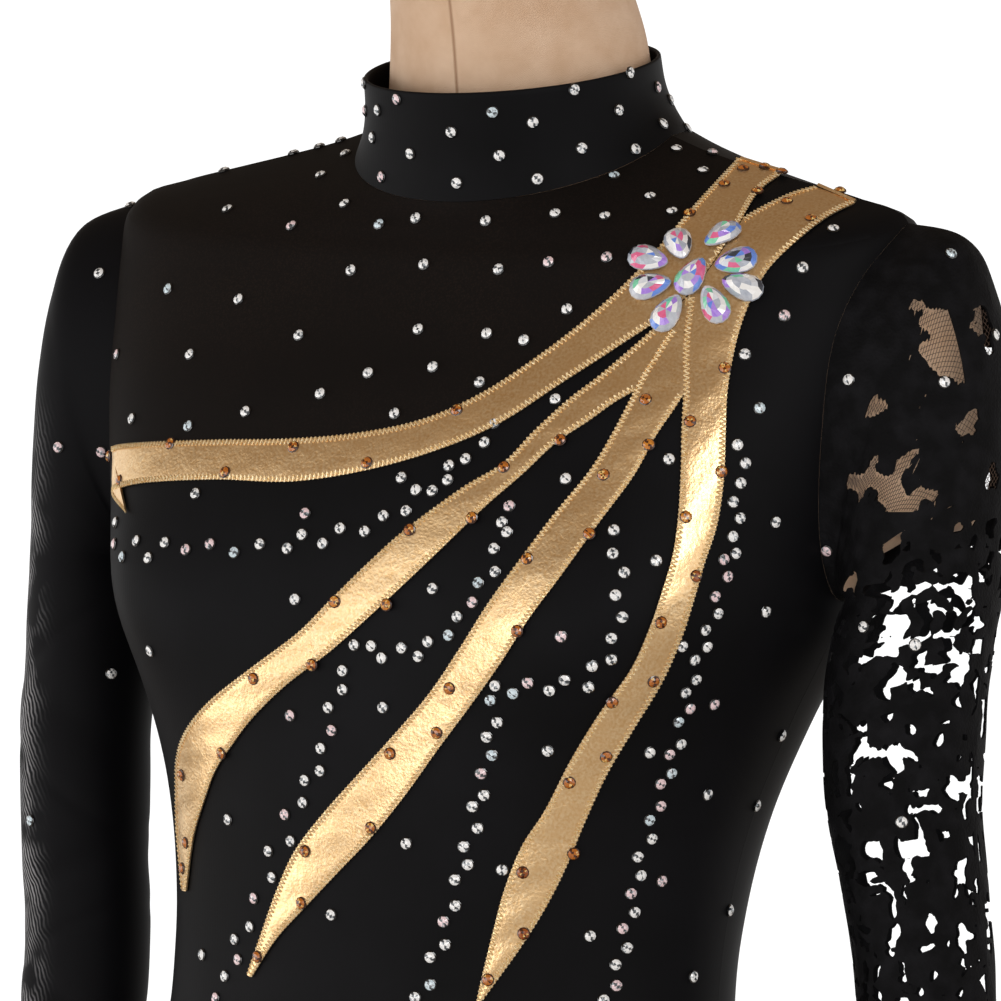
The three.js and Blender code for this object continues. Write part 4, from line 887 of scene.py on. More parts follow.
def lace_gaps(side, u, v, grid):
    """Distance in millimetres from the nearest gap of the lace, below 0 inside one.

    Over the shoulder wide windows open between five-petalled flowers, down to the pixel row WINDOWS_END.
    Below it the gaps are small, ragged and drawn out along the arm. Both are where a noise is above a
    threshold, and open more where the solid has a gap. The pattern is the same on both sides of the
    sleeve's outline, as the lace was folded when it was cut.
    """
    across, up = np.meshgrid(u, v, indexing="ij")
    x = np.abs((side * across * COLUMN_TURN - SLEEVE_OUTLINE + 180) % 360 - 180) / COLUMN_TURN * LACE_CELL
    y = seen(grid)[..., 1] * MM_PER_PIXEL
    bent_x = x + 4.5 * (rough(x / 9, y / 9, 51) - 0.5)
    bent_y = y + 4.5 * (rough(x / 9, y / 9, 56) - 0.5)
    windows = 0.75 * rough(bent_x / 15, bent_y / 17, 61) + 0.25 * rough(bent_x / 4, bent_y / 4, 66)
    ragged = rough((bent_x + bent_y) / 3.2, (bent_y - bent_x) / 3.8, 76)
    slant_x, slant_y = bent_x + 0.55 * bent_y, bent_y - 0.55 * bent_x
    slits = 0.4 * rough(bent_x / 3.4, bent_y / 8.5, 71) + 0.35 * rough(slant_x / 4.2, slant_y / 5, 72)
    slits += 0.25 * rough(slant_y / 2.4, slant_x / 2.8, 77)
    cluster = rough(x / 26, y / 40, 81) - 0.5
    solid = solid_gaps(side, u, v)
    # Flowers: solid petals round a hashed place in each square of the ground, with a slit between petals.
    i, j = np.floor(x / FLOWER_GROUND), np.floor(y / FLOWER_GROUND)
    dx = x - (i + 0.3 + 0.4 * chance(i, j, 86)) * FLOWER_GROUND
    dy = y - (j + 0.3 + 0.4 * chance(i, j, 91)) * FLOWER_GROUND
    away = np.hypot(dx, dy)
    turn = np.arctan2(dy, dx) + 6.28 * chance(i, j, 96)
    petals = 7.5 * (0.5 + 0.5 * np.abs(np.cos(2.5 * turn))) * (0.7 + 0.5 * chance(i, j, 98))
    flower = petals - away + 1.2 * (ragged - 0.5)
    vein = np.maximum(np.abs(np.sin(2.5 * turn)) * away - 0.4, 2.5 - away)
    wide = np.maximum((0.465 - windows) * 60, flower)
    wide = np.minimum(wide, np.maximum(vein, (0.4 - ragged) * 8))
    wide = np.maximum(wide, np.maximum(1.5 - across, across - 6.2) * LACE_CELL)
    wide = np.minimum(wide, solid + (0.6 - ragged) * 4)
    narrow = (0.565 - 0.1 * cluster - 0.06 * np.clip(-solid, 0, 1) - slits) * 20
    narrow = np.maximum(narrow, (across - 7.1) * LACE_CELL)
    head = np.maximum(np.maximum((1.05 - up) * HEAD_STEP, y - WINDOWS_END * MM_PER_PIXEL), wide)
    arm = np.maximum((WINDOWS_END + 6) * MM_PER_PIXEL - y, narrow)
    arm = np.maximum(arm, (4.7 - up - 2 * (across < 1.6)) * HEAD_STEP)
    field = np.minimum(head, arm)
    # No gap opens at the seams and the hems.
    edge = np.minimum(np.minimum(across, LACE_CELLS - across) * LACE_CELL - 1.2,
                      np.minimum(up, LACE_RINGS - 1 - up) * HEAD_STEP - 3)
    return np.where(edge < 0, np.maximum(field, 0.4), np.maximum(field, -edge))


def net_lines(side):
    """The fine net in the windows: rods along two slanting families of lines."""
    wide_cell, high_cell = LACE_CELL, 20.0
    u_lines = np.arange(0.15, LACE_CELLS - 0.15, NET_PITCH / wide_cell / 2)
    v_lines = np.arange(0.9, 5.8, NET_PITCH / high_cell / 2)
    grid = lace_surface(side, u_lines, v_lines)
    normals = grid_normals(grid, False)
    gap = (lace_gaps(side, u_lines, v_lines, grid) < 0.35) & (seen(grid)[..., 1] < WINDOWS_END + 2)
    across, along = np.meshgrid(np.arange(len(u_lines) - 1), np.arange(len(v_lines) - 1), indexing="ij")
    shown = gap[:-1, :-1] & gap[1:, 1:]
    segments = []
    for start, stop, line in ((grid[:-1, :-1], grid[1:, 1:], across - along),
                              (grid[1:, :-1], grid[:-1, 1:], across + along)):
        kept = shown & (line % 2 == 0)
        segments.append((start[kept], stop[kept], normals[:-1, :-1][kept]))
    start, stop, normal = (np.concatenate(part) for part in zip(*segments))
    return rods(start - normal * 0.9, stop - normal * 0.9, normal, NET_THREAD)


def rods(start, stop, normal, radius):
    """Square rods from start to stop: their sides are offset along the normal and across it."""
    across = unit(np.cross(stop - start, normal)) * radius
    up = unit(normal) * radius
    offsets = (across, up, -across, -up)
    points = np.concatenate([start + o for o in offsets] + [stop + o for o in offsets])
    count = len(start)
    base = np.arange(count)
    faces = [
        np.stack([base + k * count, base + (k + 1) % 4 * count, base + ((k + 1) % 4 + 4) * count,
                  base + (k + 4) * count], -1)
        for k in range(4)
    ]
    ends = [
        np.stack([base + k * count for k in (3, 2, 1, 0)], -1),
        np.stack([base + k * count for k in (4, 5, 6, 7)], -1),
    ]
    return points, np.concatenate(faces + ends)


def make_lace():
    """Both halves of the lace sleeve, cut from a fine grid by the gaps' field, and the net behind them."""
    grids = []
    for side, node in ((1, "sleeve_left_lace_back"), (-1, "sleeve_left_lace_front")):
        u = np.linspace(0, LACE_CELLS, 89)
        v = np.concatenate([np.linspace(0, HEAD_ROWS, 111), np.linspace(HEAD_ROWS, LACE_RINGS - 1, 341)[1:]])
        outer = lace_surface(side, u, v)
        normals = grid_normals(outer, False)
        centre = np.array([205, 15, 0]) - outer
        centre[..., 2] = 0
        normals *= np.where((normals * centre).sum(-1).mean() > 0, -1, 1)
        relief = 0.25 * np.sin(u * 4.1)[:, None] * np.sin(v * 5.3)[None]
        field = lace_gaps(side, u, v, outer)
        points, faces, _ = shell(outer + relief[..., None] * normals, outer - LACE_CLOTH * normals, field)
        piece = make_piece(node.replace("lace", "lace_cloth"), points, faces, LACE, "lace", node)
        as_cloth(piece)
        net = make_piece(node + "_net", *net_lines(side), NET, "lace", sharp=0)
        # The net is far finer than it is drawn, so neither dims the form behind it.
        piece.visible_shadow = False
        net.visible_shadow = False
        grids.append((outer, normals))
    return grids


def make_skirt():
    """The skirt: the hips' section moved out by a flare and a cosine wave that deepens to the hem."""
    finish = chiffon()
    for node, start in (("skirt_front", -90), ("skirt_back", 90)):
        turn = np.linspace(start + 0.02, start + 179.98, 217)[:, None]
        at = np.linspace(len(SKIRT["height"]) - 1, 0, 41)[None]
        height = column(SKIRT, "height", at)
        row = np.maximum(row_at(BODY, "side", height), 0) + 0 * turn
        base = body_point(turn, row)
        out = body_normal(turn, row)
        out[..., 2] = 0
        out = unit(out)
        drape = 0.10 * np.sin(np.radians(turn * 5 + 40)) * (1 - at / 5)
        wave = column(SKIRT, "wave", at) * (np.cos(np.radians(turn * SKIRT_WAVES) + np.pi) + drape)
        outer = base + out * (column(SKIRT, "out", at) + wave)[..., None]
        outer[..., 2] = height
        inner = outer - CLOTH * out
        points, faces, _ = shell(outer, inner)
        piece = make_piece(node + "_cloth", points, faces, finish, "chiffon", node)
        as_cloth(piece)


# Gold rays: their stitches in millimetres, and the folded ends over the shoulder at pixels of the view.
STITCH_STEP, STITCH_WIDTH, STITCH_THREAD, STITCH_LONGEST = 1.0, 2.4, 0.36, 4
FOLDED_ENDS = [((744, 157), (785, 173)), ((818, 189), (855, 205))]
FOLD_RADIUS = 0.9
GOLD_FACE = GOLD_LIFT + GOLD_CLOTH


def ray_table(name):
    """A ray's two edges as pixel columns. The first ray starts at the edge of the front panel."""
    rows = GOLD_RAYS[name]
    if name != "gold_ray_1":
        return rows
    first, second = on_front(*(np.array([rows[axis + k][0] for k in "12"]) for axis in "xy"))[1]
    flare = 0.2
    ends = seen(front_point(np.array([-EDGE, -EDGE]), np.array([first, second - flare])))
    lead = {"x1": ends[0, 0], "y1": ends[0, 1], "x2": ends[1, 0], "y2": ends[1, 1]}
    return {k: np.concatenate([[lead[k]], rows[k]]) for k in rows}


def ray_place(rows, r, share):
    """Place and normal on the panel at a fractional row and a share of the way between a ray's edges."""
    r, share = np.broadcast_arrays(r, share)
    x = column(rows, "x1", r) * (1 - share) + column(rows, "x2", r) * share
    y = column(rows, "y1", r) * (1 - share) + column(rows, "y2", r) * share
    across, at = on_front(x.ravel(), y.ravel())
    across = np.clip(across, -EDGE, EDGE).reshape(r.shape)
    turn = front_turn(across, at.reshape(r.shape))
    return body_point(turn, at.reshape(r.shape)), body_normal(turn, at.reshape(r.shape))


def outside(points, outline):
    """Distance in pixels from a closed outline, below 0 inside it."""
    a = outline[None]
    b = np.roll(outline, -1, 0)[None]
    p = points.reshape(-1, 1, 2)
    along = np.clip(((p - a) * (b - a)).sum(-1) / np.maximum(((b - a) ** 2).sum(-1), 1e-9), 0, 1)
    distance = np.sqrt(((p - a - along[..., None] * (b - a)) ** 2).sum(-1)).min(1)
    crosses = (a[..., 1] > p[..., 1]) != (b[..., 1] > p[..., 1])
    rise = np.where(b[..., 1] == a[..., 1], 1e-9, b[..., 1] - a[..., 1])
    left = p[..., 0] < (b[..., 0] - a[..., 0]) * (p[..., 1] - a[..., 1]) / rise + a[..., 0]
    within = (crosses & left).sum(1) % 2 == 1
    return np.where(within, -distance, distance).reshape(points.shape[:-1])


def zigzag(rows, side, outlines):
    """One edge's zigzag: a point each millimetre along it, by turns just off the edge and a stitch inside."""
    fine = np.linspace(0, len(rows["x1"]) - 1, 400)
    edge = ray_place(rows, fine, float(side))[0]
    far = ray_place(rows, fine, 1.0 - side)[0]
    run = np.concatenate([[0], np.linalg.norm(np.diff(edge, axis=0), axis=-1).cumsum()])
    stops = np.arange(0, run[-1], STITCH_STEP)
    r = np.interp(stops, run, fine)
    strip = np.maximum(np.interp(stops, run, np.linalg.norm(far - edge, axis=-1)), 1)
    odd = np.arange(len(stops)) % 2
    t = np.where(odd == 1, np.clip(STITCH_WIDTH / strip, 0, 0.45), -0.2 / strip)
    p, n = ray_place(rows, r, np.abs(side - t) if side else t)
    p = p + n * (GOLD_FACE + 0.15 - 0.3 * (1 - odd))[:, None]
    clear = strip > 1.5
    for outline in outlines:
        clear &= outside(seen(p), outline) > 0
    keep = clear[:-1] & clear[1:] & (np.linalg.norm(p[1:] - p[:-1], axis=-1) < STITCH_LONGEST)
    return p[:-1][keep], p[1:][keep], n[:-1][keep]


def make_rays():
    """Strips of gold cloth, a little fuller in the middle, each cut away where it meets an earlier one."""
    outlines = []
    threads = []
    for name in GOLD_RAYS:
        rows = ray_table(name)
        last = len(rows["x1"]) - 1
        r = np.linspace(0, last, last * 12 + 1)[:, None]
        share = np.linspace(0, 1, 13)[None]
        base, normal = ray_place(rows, r, share)
        puff = 0.35 * (4 * share * (1 - share)) ** 0.5 - 0.25
        ripple = 0.12 * np.sin(r * 5.1 + share * 4) * (1 - share) * share * 4
        outer = base + normal * (GOLD_FACE + puff + ripple)[..., None]
        inner = base + normal * GOLD_LIFT
        field = None
        if outlines:
            field = np.min([outside(seen(outer), outline) for outline in outlines], 0) - 0.3
        points, faces, _ = shell(outer, inner, field)
        piece = make_piece(name + "_foil", points, faces, GOLD, "gold_foil", name, sharp=50)
        as_cloth(piece)
        threads += [zigzag(rows, side, outlines) for side in (0, 1)]
        edge = seen(inner)
        outlines.append(np.concatenate([edge[:, 0], edge[::-1, -1]]))
    points, faces = rods(*(np.concatenate(part) for part in zip(*threads)), STITCH_THREAD)
    make_piece("gold_stitches", points, faces, gold_thread(), "gold_foil", sharp=0)
    hems = []
    for ends in FOLDED_ENDS:
        across, at = on_front(*np.linspace(*ends, 9).T)
        normal = body_normal(front_turn(across, at), at)
        spot = front_point(across, at) + normal * (GOLD_FACE + 0.5)
        hems.append((spot[:-1], spot[1:], normal[:-1]))
    points, faces = rods(*(np.concatenate(part) for part in zip(*hems)), FOLD_RADIUS)
    make_piece("gold_folded_ends", points, faces, GOLD, "gold_foil", sharp=0)


# Stones, at pixels of the three-quarter view.
COLLAR_STONES = [
    (361, 84), (358, 111), (378, 110), (373, 137), (337, 131), (345, 153), (397, 100), (410, 154),
    (451, 132), (493, 111), (533, 122), (574, 89), (629, 69), (657, 87), (671, 99), (618, 110),
    (663, 123), (499, 156), (581, 148), (635, 149), (676, 148), (457, 184), (382, 177), (537, 178),
    (614, 176), (697, 125), (714, 144), (703, 171),
]
YOKE_STONES = [
    (128, 200), (224, 170), (291, 148), (317, 141), (321, 175), (345, 204), (379, 224), (228, 209),
    (291, 226), (100, 273), (168, 289), (239, 300), (352, 270), (299, 336), (117, 355), (190, 354),
    (367, 372), (320, 394), (416, 218), (486, 221), (555, 213), (605, 216), (650, 196), (672, 212),
    (423, 264), (498, 269), (549, 262), (607, 258), (568, 310), (417, 328), (488, 333), (524, 340),
    (433, 368), (479, 382), (555, 398), (245, 412), (188, 426), (132, 419), (393, 413), (102, 453),
]
SINGLE_STONES = [
    (59, 447), (111, 674), (31, 820), (833, 229), (802, 268), (784, 315), (745, 355), (760, 409),
    (775, 521), (765, 611), (827, 551), (714, 704), (782, 735), (707, 795), (661, 881), (693, 977),
    (775, 812), (748, 915), (951, 254), (849, 380), (944, 382), (995, 335), (864, 627), (915, 645),
    (902, 822), (196, 494), (295, 598), (150, 652), (290, 715), (384, 709), (228, 818), (203, 954),
    (331, 915), (407, 843), (502, 870), (590, 936), (432, 590), (567, 478), (561, 635), (548, 751),
    (669, 460), (656, 561),
]
CHAIN_STONES = [
    (116, 522), (115, 544), (123, 557), (137, 541), (149, 558), (165, 543), (186, 550), (211, 544),
    (235, 553), (260, 544), (287, 548), (301, 535), (305, 513), (323, 544), (342, 528), (364, 531),
    (383, 516), (406, 510), (402, 478), (417, 490), (432, 491), (449, 479), (449, 466), (467, 459),
    (484, 441), (494, 424), (509, 507), (502, 522), (508, 533), (495, 549), (495, 572), (478, 583),
    (473, 604), (457, 617), (448, 635), (429, 642), (418, 657), (401, 649), (383, 659), (371, 645),
    (354, 646), (342, 670), (344, 691), (329, 707), (332, 729), (320, 748), (320, 770), (304, 781),
    (304, 802), (285, 815), (291, 841), (269, 851), (272, 879), (255, 897), (250, 927), (235, 938),
    (238, 961), (224, 977), (215, 999), (614, 530), (612, 553), (624, 573), (616, 595), (623, 617),
    (611, 639), (611, 658), (593, 666), (589, 687), (565, 681), (550, 692), (529, 683), (513, 693),
    (496, 685), (490, 702), (497, 722), (487, 738), (492, 756), (481, 773), (485, 796), (473, 807),
    (477, 829), (464, 846), (469, 866), (456, 881), (456, 905), (444, 920), (446, 943), (430, 959),
    (431, 983), (416, 999), (737, 444), (745, 462), (740, 482), (733, 501), (740, 519), (733, 536),
    (736, 553), (723, 560), (728, 576), (715, 598), (718, 615), (706, 630), (707, 647), (683, 645),
    (695, 659), (696, 680), (685, 693), (690, 707), (679, 723), (680, 744), (669, 754), (650, 754),
    (671, 773), (661, 783), (661, 805), (649, 819), (651, 839), (637, 856), (641, 876), (631, 894),
    (634, 912), (622, 928), (627, 947), (615, 963), (617, 986), (603, 999),
]
TOPAZ_STONES = [
    (108, 455), (120, 481), (170, 444), (224, 473), (293, 447), (368, 462), (456, 410), (336, 600),
    (385, 604), (410, 530), (472, 517), (503, 466), (561, 440), (311, 664), (253, 677), (221, 752),
    (182, 775), (186, 842), (183, 868), (646, 399), (648, 444), (604, 474), (590, 534), (526, 558),
    (518, 630), (449, 690), (436, 732), (389, 755), (370, 827), (304, 852), (302, 903), (258, 957),
    (690, 422), (686, 517), (721, 471), (725, 367), (696, 576), (660, 621), (653, 681), (613, 704),
    (607, 757), (569, 782), (573, 854), (523, 873), (523, 934), (488, 978), (690, 213), (724, 184),
    (743, 168), (757, 191), (766, 160), (782, 168), (787, 202), (811, 218), (840, 190),
]
STONE_SIZE = 5.4
STONE_SIDES = 10
# A stone's rings: their share of its radius, their height in radii, and their turn in half facets.
STONE_RINGS = [(1.0, 0.0, 0), (1.0, 0.14, 0), (0.84, 0.34, 1), (0.48, 0.58, 0)]
TABLE_HEIGHT = 0.62
# Colours of a stone's facets: bright, second tint, dark slash, half lit, third tint and rim. The bright and
# half lit facets are painted reflections of the lit room, the dark slash and the rim painted reflections of
# its dark side; the second and third are tints.
CLEAR_TINTS_AND_REFLECTIONS = ["#FCFDFE", "#F7DDE2", "#43494F", "#A9B1B8", "#D9EBF5", "#0C0D0F"]
TOPAZ_TINTS_AND_REFLECTIONS = ["#B8691F", "#9A4E16", "#4A2108", "#F6CD7C", "#CE8129", "#3A1B08"]
BRIGHT, SECOND, SLASH, HALF_LIT, THIRD, RIM = range(6)
# A drop crystal's rings: their share of its outline, their share of its height, and their turn in facets.
DROP_RINGS = [(0.86, 0.0, 0), (1.0, 0.22, 0), (0.97, 0.36, 0), (0.76, 0.68, 0.5), (0.46, 0.98, 0)]
DROP_SIDES = 16
# Colours of a drop's facets, and the shares of the facets at which the next colour begins. The white facets
# are painted highlights and the dark ones a painted reflection of the dark room; the greys and the pink,
# blue, green and violet ones are the crystal's and its coating's tints.
DROP_TINTS_AND_HIGHLIGHTS = ["#FFFFFF", "#B9C0CE", "#EE6E9C", "#6F97F0", "#86E0B8", "#B48CEE"]
DROP_TINTS_AND_HIGHLIGHTS += ["#3E4450", "#C4CAD6", "#E4E8F0"]
DROP_SHARES = [0.2, 0.38, 0.47, 0.57, 0.65, 0.74, 0.8, 0.9]
# Millimetres by which a petal sits lower, so that it rests on the strips.
LOWERED = {"crystal_petal_2": 0.5}


def finer(grid, times):
    """A grid with so many steps where it had one, along both ways."""
    for axis in (0, 1):
        at = np.linspace(0, grid.shape[axis] - 1, (grid.shape[axis] - 1) * times + 1)
        low = np.minimum(np.floor(at).astype(int), grid.shape[axis] - 2)
        share = (at - low).reshape((-1, 1, 1) if axis == 0 else (1, -1, 1))
        grid = grid.take(low, axis) * (1 - share) + grid.take(low + 1, axis) * share
    return grid


def settle(pixels, surfaces):
    """Where pixels fall on the surfaces: the nearest point that faces the view, the closest surface first."""
    points = np.concatenate([finer(g, 4).reshape(-1, 3) for g, n in surfaces])
    normals = np.concatenate([finer(n, 4).reshape(-1, 3) for g, n in surfaces])
    facing = (normals * unit(EYE - points)).sum(-1) > 0.04
    points, normals = points[facing], unit(normals[facing])
    px = seen(points)
    depth = -((points - EYE) @ VIEW_BACK)
    found = []
    for x, y in pixels:
        away = np.hypot(px[:, 0] - x, px[:, 1] - y)
        close = away < max(away.min() + 0.8, 1.5)
        score = np.where(close, away + (depth - depth[close].min()) * 0.5, 1e9)
        found.append(score.argmin())
    return points[found], normals[found]


def scattered(surface, step, seed):
    """Places on the parts of a surface that face away from the view: an even ground, each a little off it."""
    grid, normals = surface
    i, j = np.meshgrid(np.arange(step[0] // 2, grid.shape[0] - 1, step[0]),
                       np.arange(step[1] // 2, grid.shape[1] - 1, step[1]), indexing="ij")
    i = np.clip(i + (chance(i, j, seed) - 0.5) * 0.8 * step[0], 0, grid.shape[0] - 1).astype(int).ravel()
    j = np.clip(j + (chance(j, i.reshape(j.shape), seed) - 0.5) * 0.8 * step[1], 0, grid.shape[1] - 1)
    j = j.astype(int).ravel()
    points, normals = grid[i, j], unit(normals[i, j])
    away = (normals * unit(EYE - points)).sum(-1) < -0.15
    return points[away], normals[away]


def facet_shades(palette, picks):
    """A facet's colour, picked from a palette of tints and painted reflections."""
    return np.array([linear(code) for code in palette])[picks].reshape(-1, 4)


def stones(name, places, normals, palette, seed):
    """Flat-backed round stones: a crown of facets round a table, coloured with painted reflections: a dark
    rim, bright facets and a dark slash across them.

    The slash is the facets that send back the dark side of the room; it lies aslant, as under one lamp.
    """
    n = unit(normals)
    right = unit(np.cross(LEVEL_UP + 0 * n, n))
    up = np.cross(n, right)
    sides = STONE_SIDES
    angle = 2 * math.pi * (np.arange(sides) + 0.5) / sides
    radius = STONE_SIZE / 2
    parts = []
    flat = []
    for share, height, shift in STONE_RINGS:
        a = angle + shift * math.pi / sides
        flat.append(np.stack([np.cos(a), np.sin(a)], -1) * share)
        ring = right[:, None] * flat[-1][:, :1] + up[:, None] * flat[-1][:, 1:]
        parts.append(places[:, None] + radius * (ring + height * n[:, None]))
    parts.append((places + radius * TABLE_HEIGHT * n)[:, None])
    parts.append(places[:, None])
    flat = np.concatenate([*flat, np.zeros((2, 2))])
    points = np.concatenate(parts, 1)
    top = len(STONE_RINGS) * sides
    faces = []
    level = []
    for k in range(sides):
        m = (k + 1) % sides
        for low in range(len(STONE_RINGS) - 1):
            a, b, c, d = low * sides + k, low * sides + m, (low + 1) * sides + k, (low + 1) * sides + m
            faces += [(a, b, d), (a, d, c)]
            level += [low, low]
        faces += [(top - sides + k, top - sides + m, top), (m, k, top + 1)]
        level += [3, 0]
    faces, level = np.array(faces), np.array(level)
    middle = flat[faces].mean(1)
    count, each = len(places), points.shape[1]
    number = np.arange(count)[:, None]
    slash = math.pi * 0.75 + (chance(number, 3, seed) - 0.5) * 1.1
    aside = np.abs(middle[:, 0] * np.cos(slash) - middle[:, 1] * np.sin(slash))
    tint_and_reflection = chance(number, 7, seed + 2)
    bright = np.where(tint_and_reflection > 0.92, THIRD, np.where(tint_and_reflection > 0.8, SECOND, BRIGHT))
    # The slash's facets are painted with the reflection of the room's dark side, the rest with the bright
    # room's reflection or a tint.
    picks = np.where(aside < 0.13 + 0.1 * chance(number, 9, seed), SLASH, bright)
    # A few random facets of the crown get the painted half-lit reflection.
    painted_half_light = (chance(number, level + 10 * np.arange(len(faces)), seed) > 0.9) & (level > 1)
    picks = np.where(painted_half_light, HALF_LIT, picks)
    # The rim is painted dark, as the reflection of the room's dark side.
    picks = np.where(level < 2, RIM, picks)
    whole = (faces[None] + each * number[:, :, None]).reshape(-1, 3)
    shades = facet_shades(palette, picks)
    finish = cut_glass(name + "_glass", 0.15)
    make_piece(name, points.reshape(-1, 3), whole, finish, "crystal", shades=shades, sharp=0)


def drop_crystals():
    """Drop-shaped cut crystals: a pointed oval outline, rings of kite facets and a small table."""
    sides = DROP_SIDES
    finish = cut_glass("drop_crystal_glass", 0.05)
    x, y, turn = np.array(list(FLOWER.values()), float).T
    across, at = on_front(x, y)
    normal = body_normal(front_turn(across, at), at)
    sink = np.array([LOWERED.get(name, 0.0) for name in FLOWER])
    middle = front_point(across, at) + normal * (GOLD_FACE + 0.65 - sink)[:, None]
    up = unit(np.cross(unit(EYE - middle), LEVEL_RIGHT))
    angle = np.radians(turn)[:, None]
    along = LEVEL_RIGHT * np.cos(angle) + up * np.sin(angle)
    along = unit(along - (along * normal).sum(-1, keepdims=True) * normal)
    aside = np.cross(normal, along)
    for k, name in enumerate(FLOWER):
        rings = []
        for share, height, half in DROP_RINGS:
            a = 2 * math.pi * (np.arange(sides) + half) / sides
            wide = np.sin(a) * (0.55 + 0.45 * (0.5 + 0.5 * np.cos(a))) * 1.12 * DROP_WIDTH / 2 * share
            long = np.cos(a) * DROP_LENGTH / 2 * share
            rings.append(middle[k] + long[:, None] * along[k] + wide[:, None] * aside[k]
                         + height * DROP_HEIGHT * normal[k])
        points = np.concatenate([*rings, [rings[-1].mean(0) + 0.1 * normal[k]], [rings[0].mean(0)]])
        faces = []
        for i in range(sides):
            j = (i + 1) % sides
            for low in range(0, 4 * sides, sides):
                a, b, c, d = low + i, low + j, low + sides + i, low + sides + j
                faces += [(a, b, c), (b, d, c)]
            faces += [(4 * sides + i, 4 * sides + j, 5 * sides), (j, i, 5 * sides + 1)]
        faces = np.array(faces)
        # Ten faces to a side of the drop: two in each of four rings, the table's and the back's.
        block, ring = np.divmod(np.arange(len(faces)), 10)
        # Each facet's colour: mostly tints, with painted highlights and painted dark reflections among them.
        picks = np.digitize(chance(block // 2, ring // 2, k + 3), DROP_SHARES)
        picks = np.where((ring < 4) | (ring == 9), 1, picks)
        shades = facet_shades(DROP_TINTS_AND_HIGHLIGHTS, picks)
        make_piece(name + "_cut", points, faces, finish, "crystal", name, shades=shades, sharp=0)


# The dress form: how far its arm caps lie inside the sleeve, and the rings of their rounded ends.
CAP_CLEAR = 5.5
CAP_ENDS = [(0.93, 1.6), (0.75, 3), (0.4, 4)]


def make_form():
    """The canvas form: the dress's own section, moved in under the cloth, with a neck and a flat foot."""
    turn = np.linspace(0, 360, 193)[:-1][:, None]
    turn = np.where(turn > 180, turn - 360, turn)
    at = np.linspace(0, NECK_ROW, 140)[None]
    body = body_point(turn, at) - (CLOTH + FORM_CLEAR) * body_normal(turn, at)
    foot = body[:, :1].copy()
    foot[..., 2] = FORM_FOOT
    neck = section_point(NECK, turn, np.linspace(0, 3, 30)[None])
    linen = linen_canvas()
    points, faces = capped_tube(np.concatenate([foot, body, neck], 1))
    make_piece("form_canvas", points, faces, linen, "linen", "form_torso")
    for side, name in ((1, "left"), (-1, "right")):
        grid = arm_cap() * np.array([side, 1, 1])
        make_piece("form_arm_cap_" + name, *capped_tube(grid), linen, "linen")


def arm_cap():
    """The left arm's cap: the sleeve's head moved inwards, down to the pixel row at which windows end."""
    angle = np.linspace(-180, 180, 65)[:-1]
    rings = sleeve_rings(RIGHT_HEAD, RIGHT_SLEEVE, 1, angle, CAP_CLEAR)[:, 1:6]
    first = rings[:, :1] + 0.14 * (rings[:, :1].mean(0, keepdims=True) - rings[:, :1])
    first[..., 0] = np.minimum(first[..., 0], 174) - 7
    fine = 400
    grid = through(np.concatenate([first, rings], 1), np.linspace(0, 5, fine))
    below = seen(grid)[..., 1] > WINDOWS_END + 8
    last = np.where(below.any(1), np.argmax(below, 1), fine - 1)
    rows = (last[:, None] * np.linspace(0, 1, 36)).astype(int)
    grid = np.take_along_axis(grid, rows[..., None], 1)
    end = grid[:, -1:]
    middle = end.mean(0, keepdims=True)
    rounded = [middle + (end - middle) * share + np.array([0.1, 0, -1]) * drop for share, drop in CAP_ENDS]
    return np.concatenate([grid, *rounded], 1)


def place_object(name, data):
    """An object in the scene."""
    made = bpy.data.objects.new(name, data)
    bpy.context.scene.collection.objects.link(made)
    return made


# Area lamps: name, place in metres, size and power. All aim at the chest.
LAMPS = [
    ("low_left", (-2.4, -1.5, 0.8), 1.8, 17),
    ("low_front", (-0.4, -2.9, 0.7), 1.3, 12),
    ("high_right", (2.5, -1.9, 2.2), 1.0, 20),
]
CHEST = np.array([0, 0, 1.2])
FLOOR_RADIUS = 6


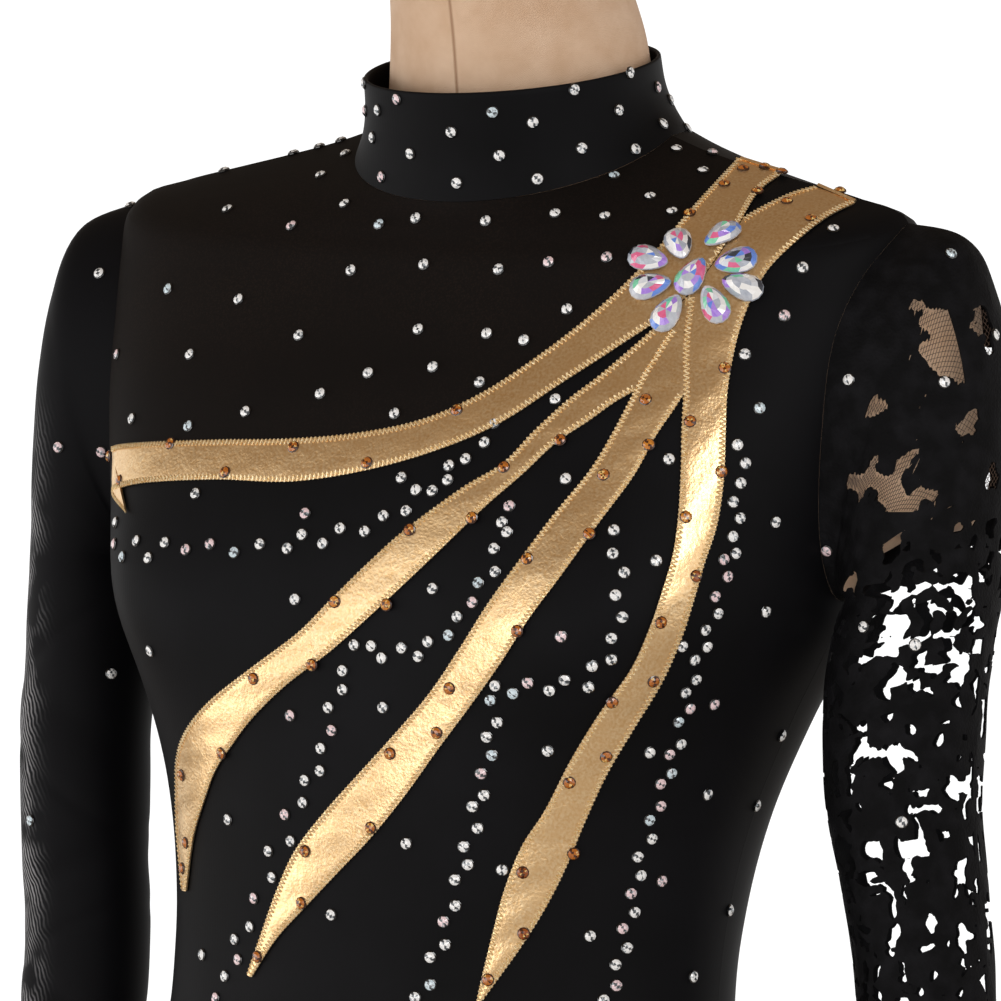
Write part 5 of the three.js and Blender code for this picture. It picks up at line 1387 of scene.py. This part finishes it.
def make_stage():
    """A pale floor disc, a bright world that dims overhead, three soft lamps, and the camera."""
    angle = np.linspace(0, 2 * np.pi, 97)[:-1]
    rim = np.stack([FLOOR_RADIUS * np.cos(angle), FLOOR_RADIUS * np.sin(angle), 0 * angle - 0.0005], -1)
    mesh = bpy.data.meshes.new("floor")
    mesh.from_pydata(rim.tolist(), [], [list(range(len(rim)))])
    look = Finish("matt_white_floor", roughness=0.9)
    cloud = look.add("TexNoise", {"Scale": 1.5, "Vector": look.place}).outputs[0]
    mesh.materials.append(look.finished(look.blend(cloud, "#EDEDEC", "#F4F4F3")))
    place_object("floor", mesh)

    world = bpy.data.worlds.new("studio")
    bpy.context.scene.world = world
    world.use_nodes = True
    sky = Nodes(world.node_tree)
    way = sky.add("TexCoord", {}).outputs["Generated"]
    overhead = sky.ramp(sky.add("SeparateXYZ", {0: way}).outputs[2], 0.06, 0.45)
    background = world.node_tree.nodes["Background"]
    world.node_tree.links.new(sky.blend(overhead, "#FFFFFF", "#80705F"), background.inputs["Color"])
    background.inputs["Strength"].default_value = 1.15

    for name, spot, size, power in LAMPS:
        light = bpy.data.lights.new(name, "AREA")
        light.size = size
        light.energy = power
        lamp = place_object(name, light)
        lamp.location = spot
        aim = unit(CHEST - np.array(spot))
        lamp.rotation_euler = (math.acos(-aim[2]), 0, math.atan2(aim[0], -aim[1]) + math.pi)

    camera = bpy.data.cameras.new("camera")
    camera.sensor_width = SENSOR
    camera.lens = SENSOR * VIEW_DISTANCE / (PICTURE * MM_PER_PIXEL)
    camera.clip_end = 50
    eye = place_object("camera", camera)
    columns = np.eye(4)
    columns[:3] = np.stack([VIEW_RIGHT, VIEW_UP, VIEW_BACK, EYE * MM], -1)
    eye.matrix_world = Matrix(columns.tolist())
    bpy.context.scene.camera = eye
    bpy.context.scene.view_settings.view_transform = "Standard"


def closed(grid):
    """A ring grid with its first column again at the end, and its normals."""
    normals = grid_normals(grid, True)
    return np.concatenate([grid, grid[:1]]), np.concatenate([normals, normals[:1]])


def make_stones(collar_grid, right_grid, lace_grids):
    """Stones where the photo has them, and on the back and the collar's back an even ground of them."""
    collar_face, right_face = closed(collar_grid), closed(right_grid)
    faces_seen = [(front_face, front_normals), collar_face, right_face, *lace_grids]
    groups = [settle(COLLAR_STONES + YOKE_STONES + SINGLE_STONES + CHAIN_STONES, faces_seen)]
    hidden = [((back_face, back_normals), (17, 12)), (collar_face, (9, 7))]
    groups += [scattered(surface, step, 11) for surface, step in hidden]
    stones("clear_stones", *(np.concatenate(part) for part in zip(*groups)), CLEAR_TINTS_AND_REFLECTIONS, 2)
    gold_face = front_face + front_normals * GOLD_FACE
    stones("topaz_stones", *settle(TOPAZ_STONES, [(gold_face, front_normals)]), TOPAZ_TINTS_AND_REFLECTIONS, 5)


make_stage()
make_form()
make_body()
collar_grid = make_collar()
right_grid = make_right_sleeve()
lace_grids = make_lace()
make_skirt()
make_rays()
drop_crystals()
make_stones(collar_grid, right_grid, lace_grids)

steel = brushed_steel()
for name in ("stand_pole", "stand_base"):
    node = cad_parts[name]
    node.data.materials.clear()
    node.data.materials.append(steel)
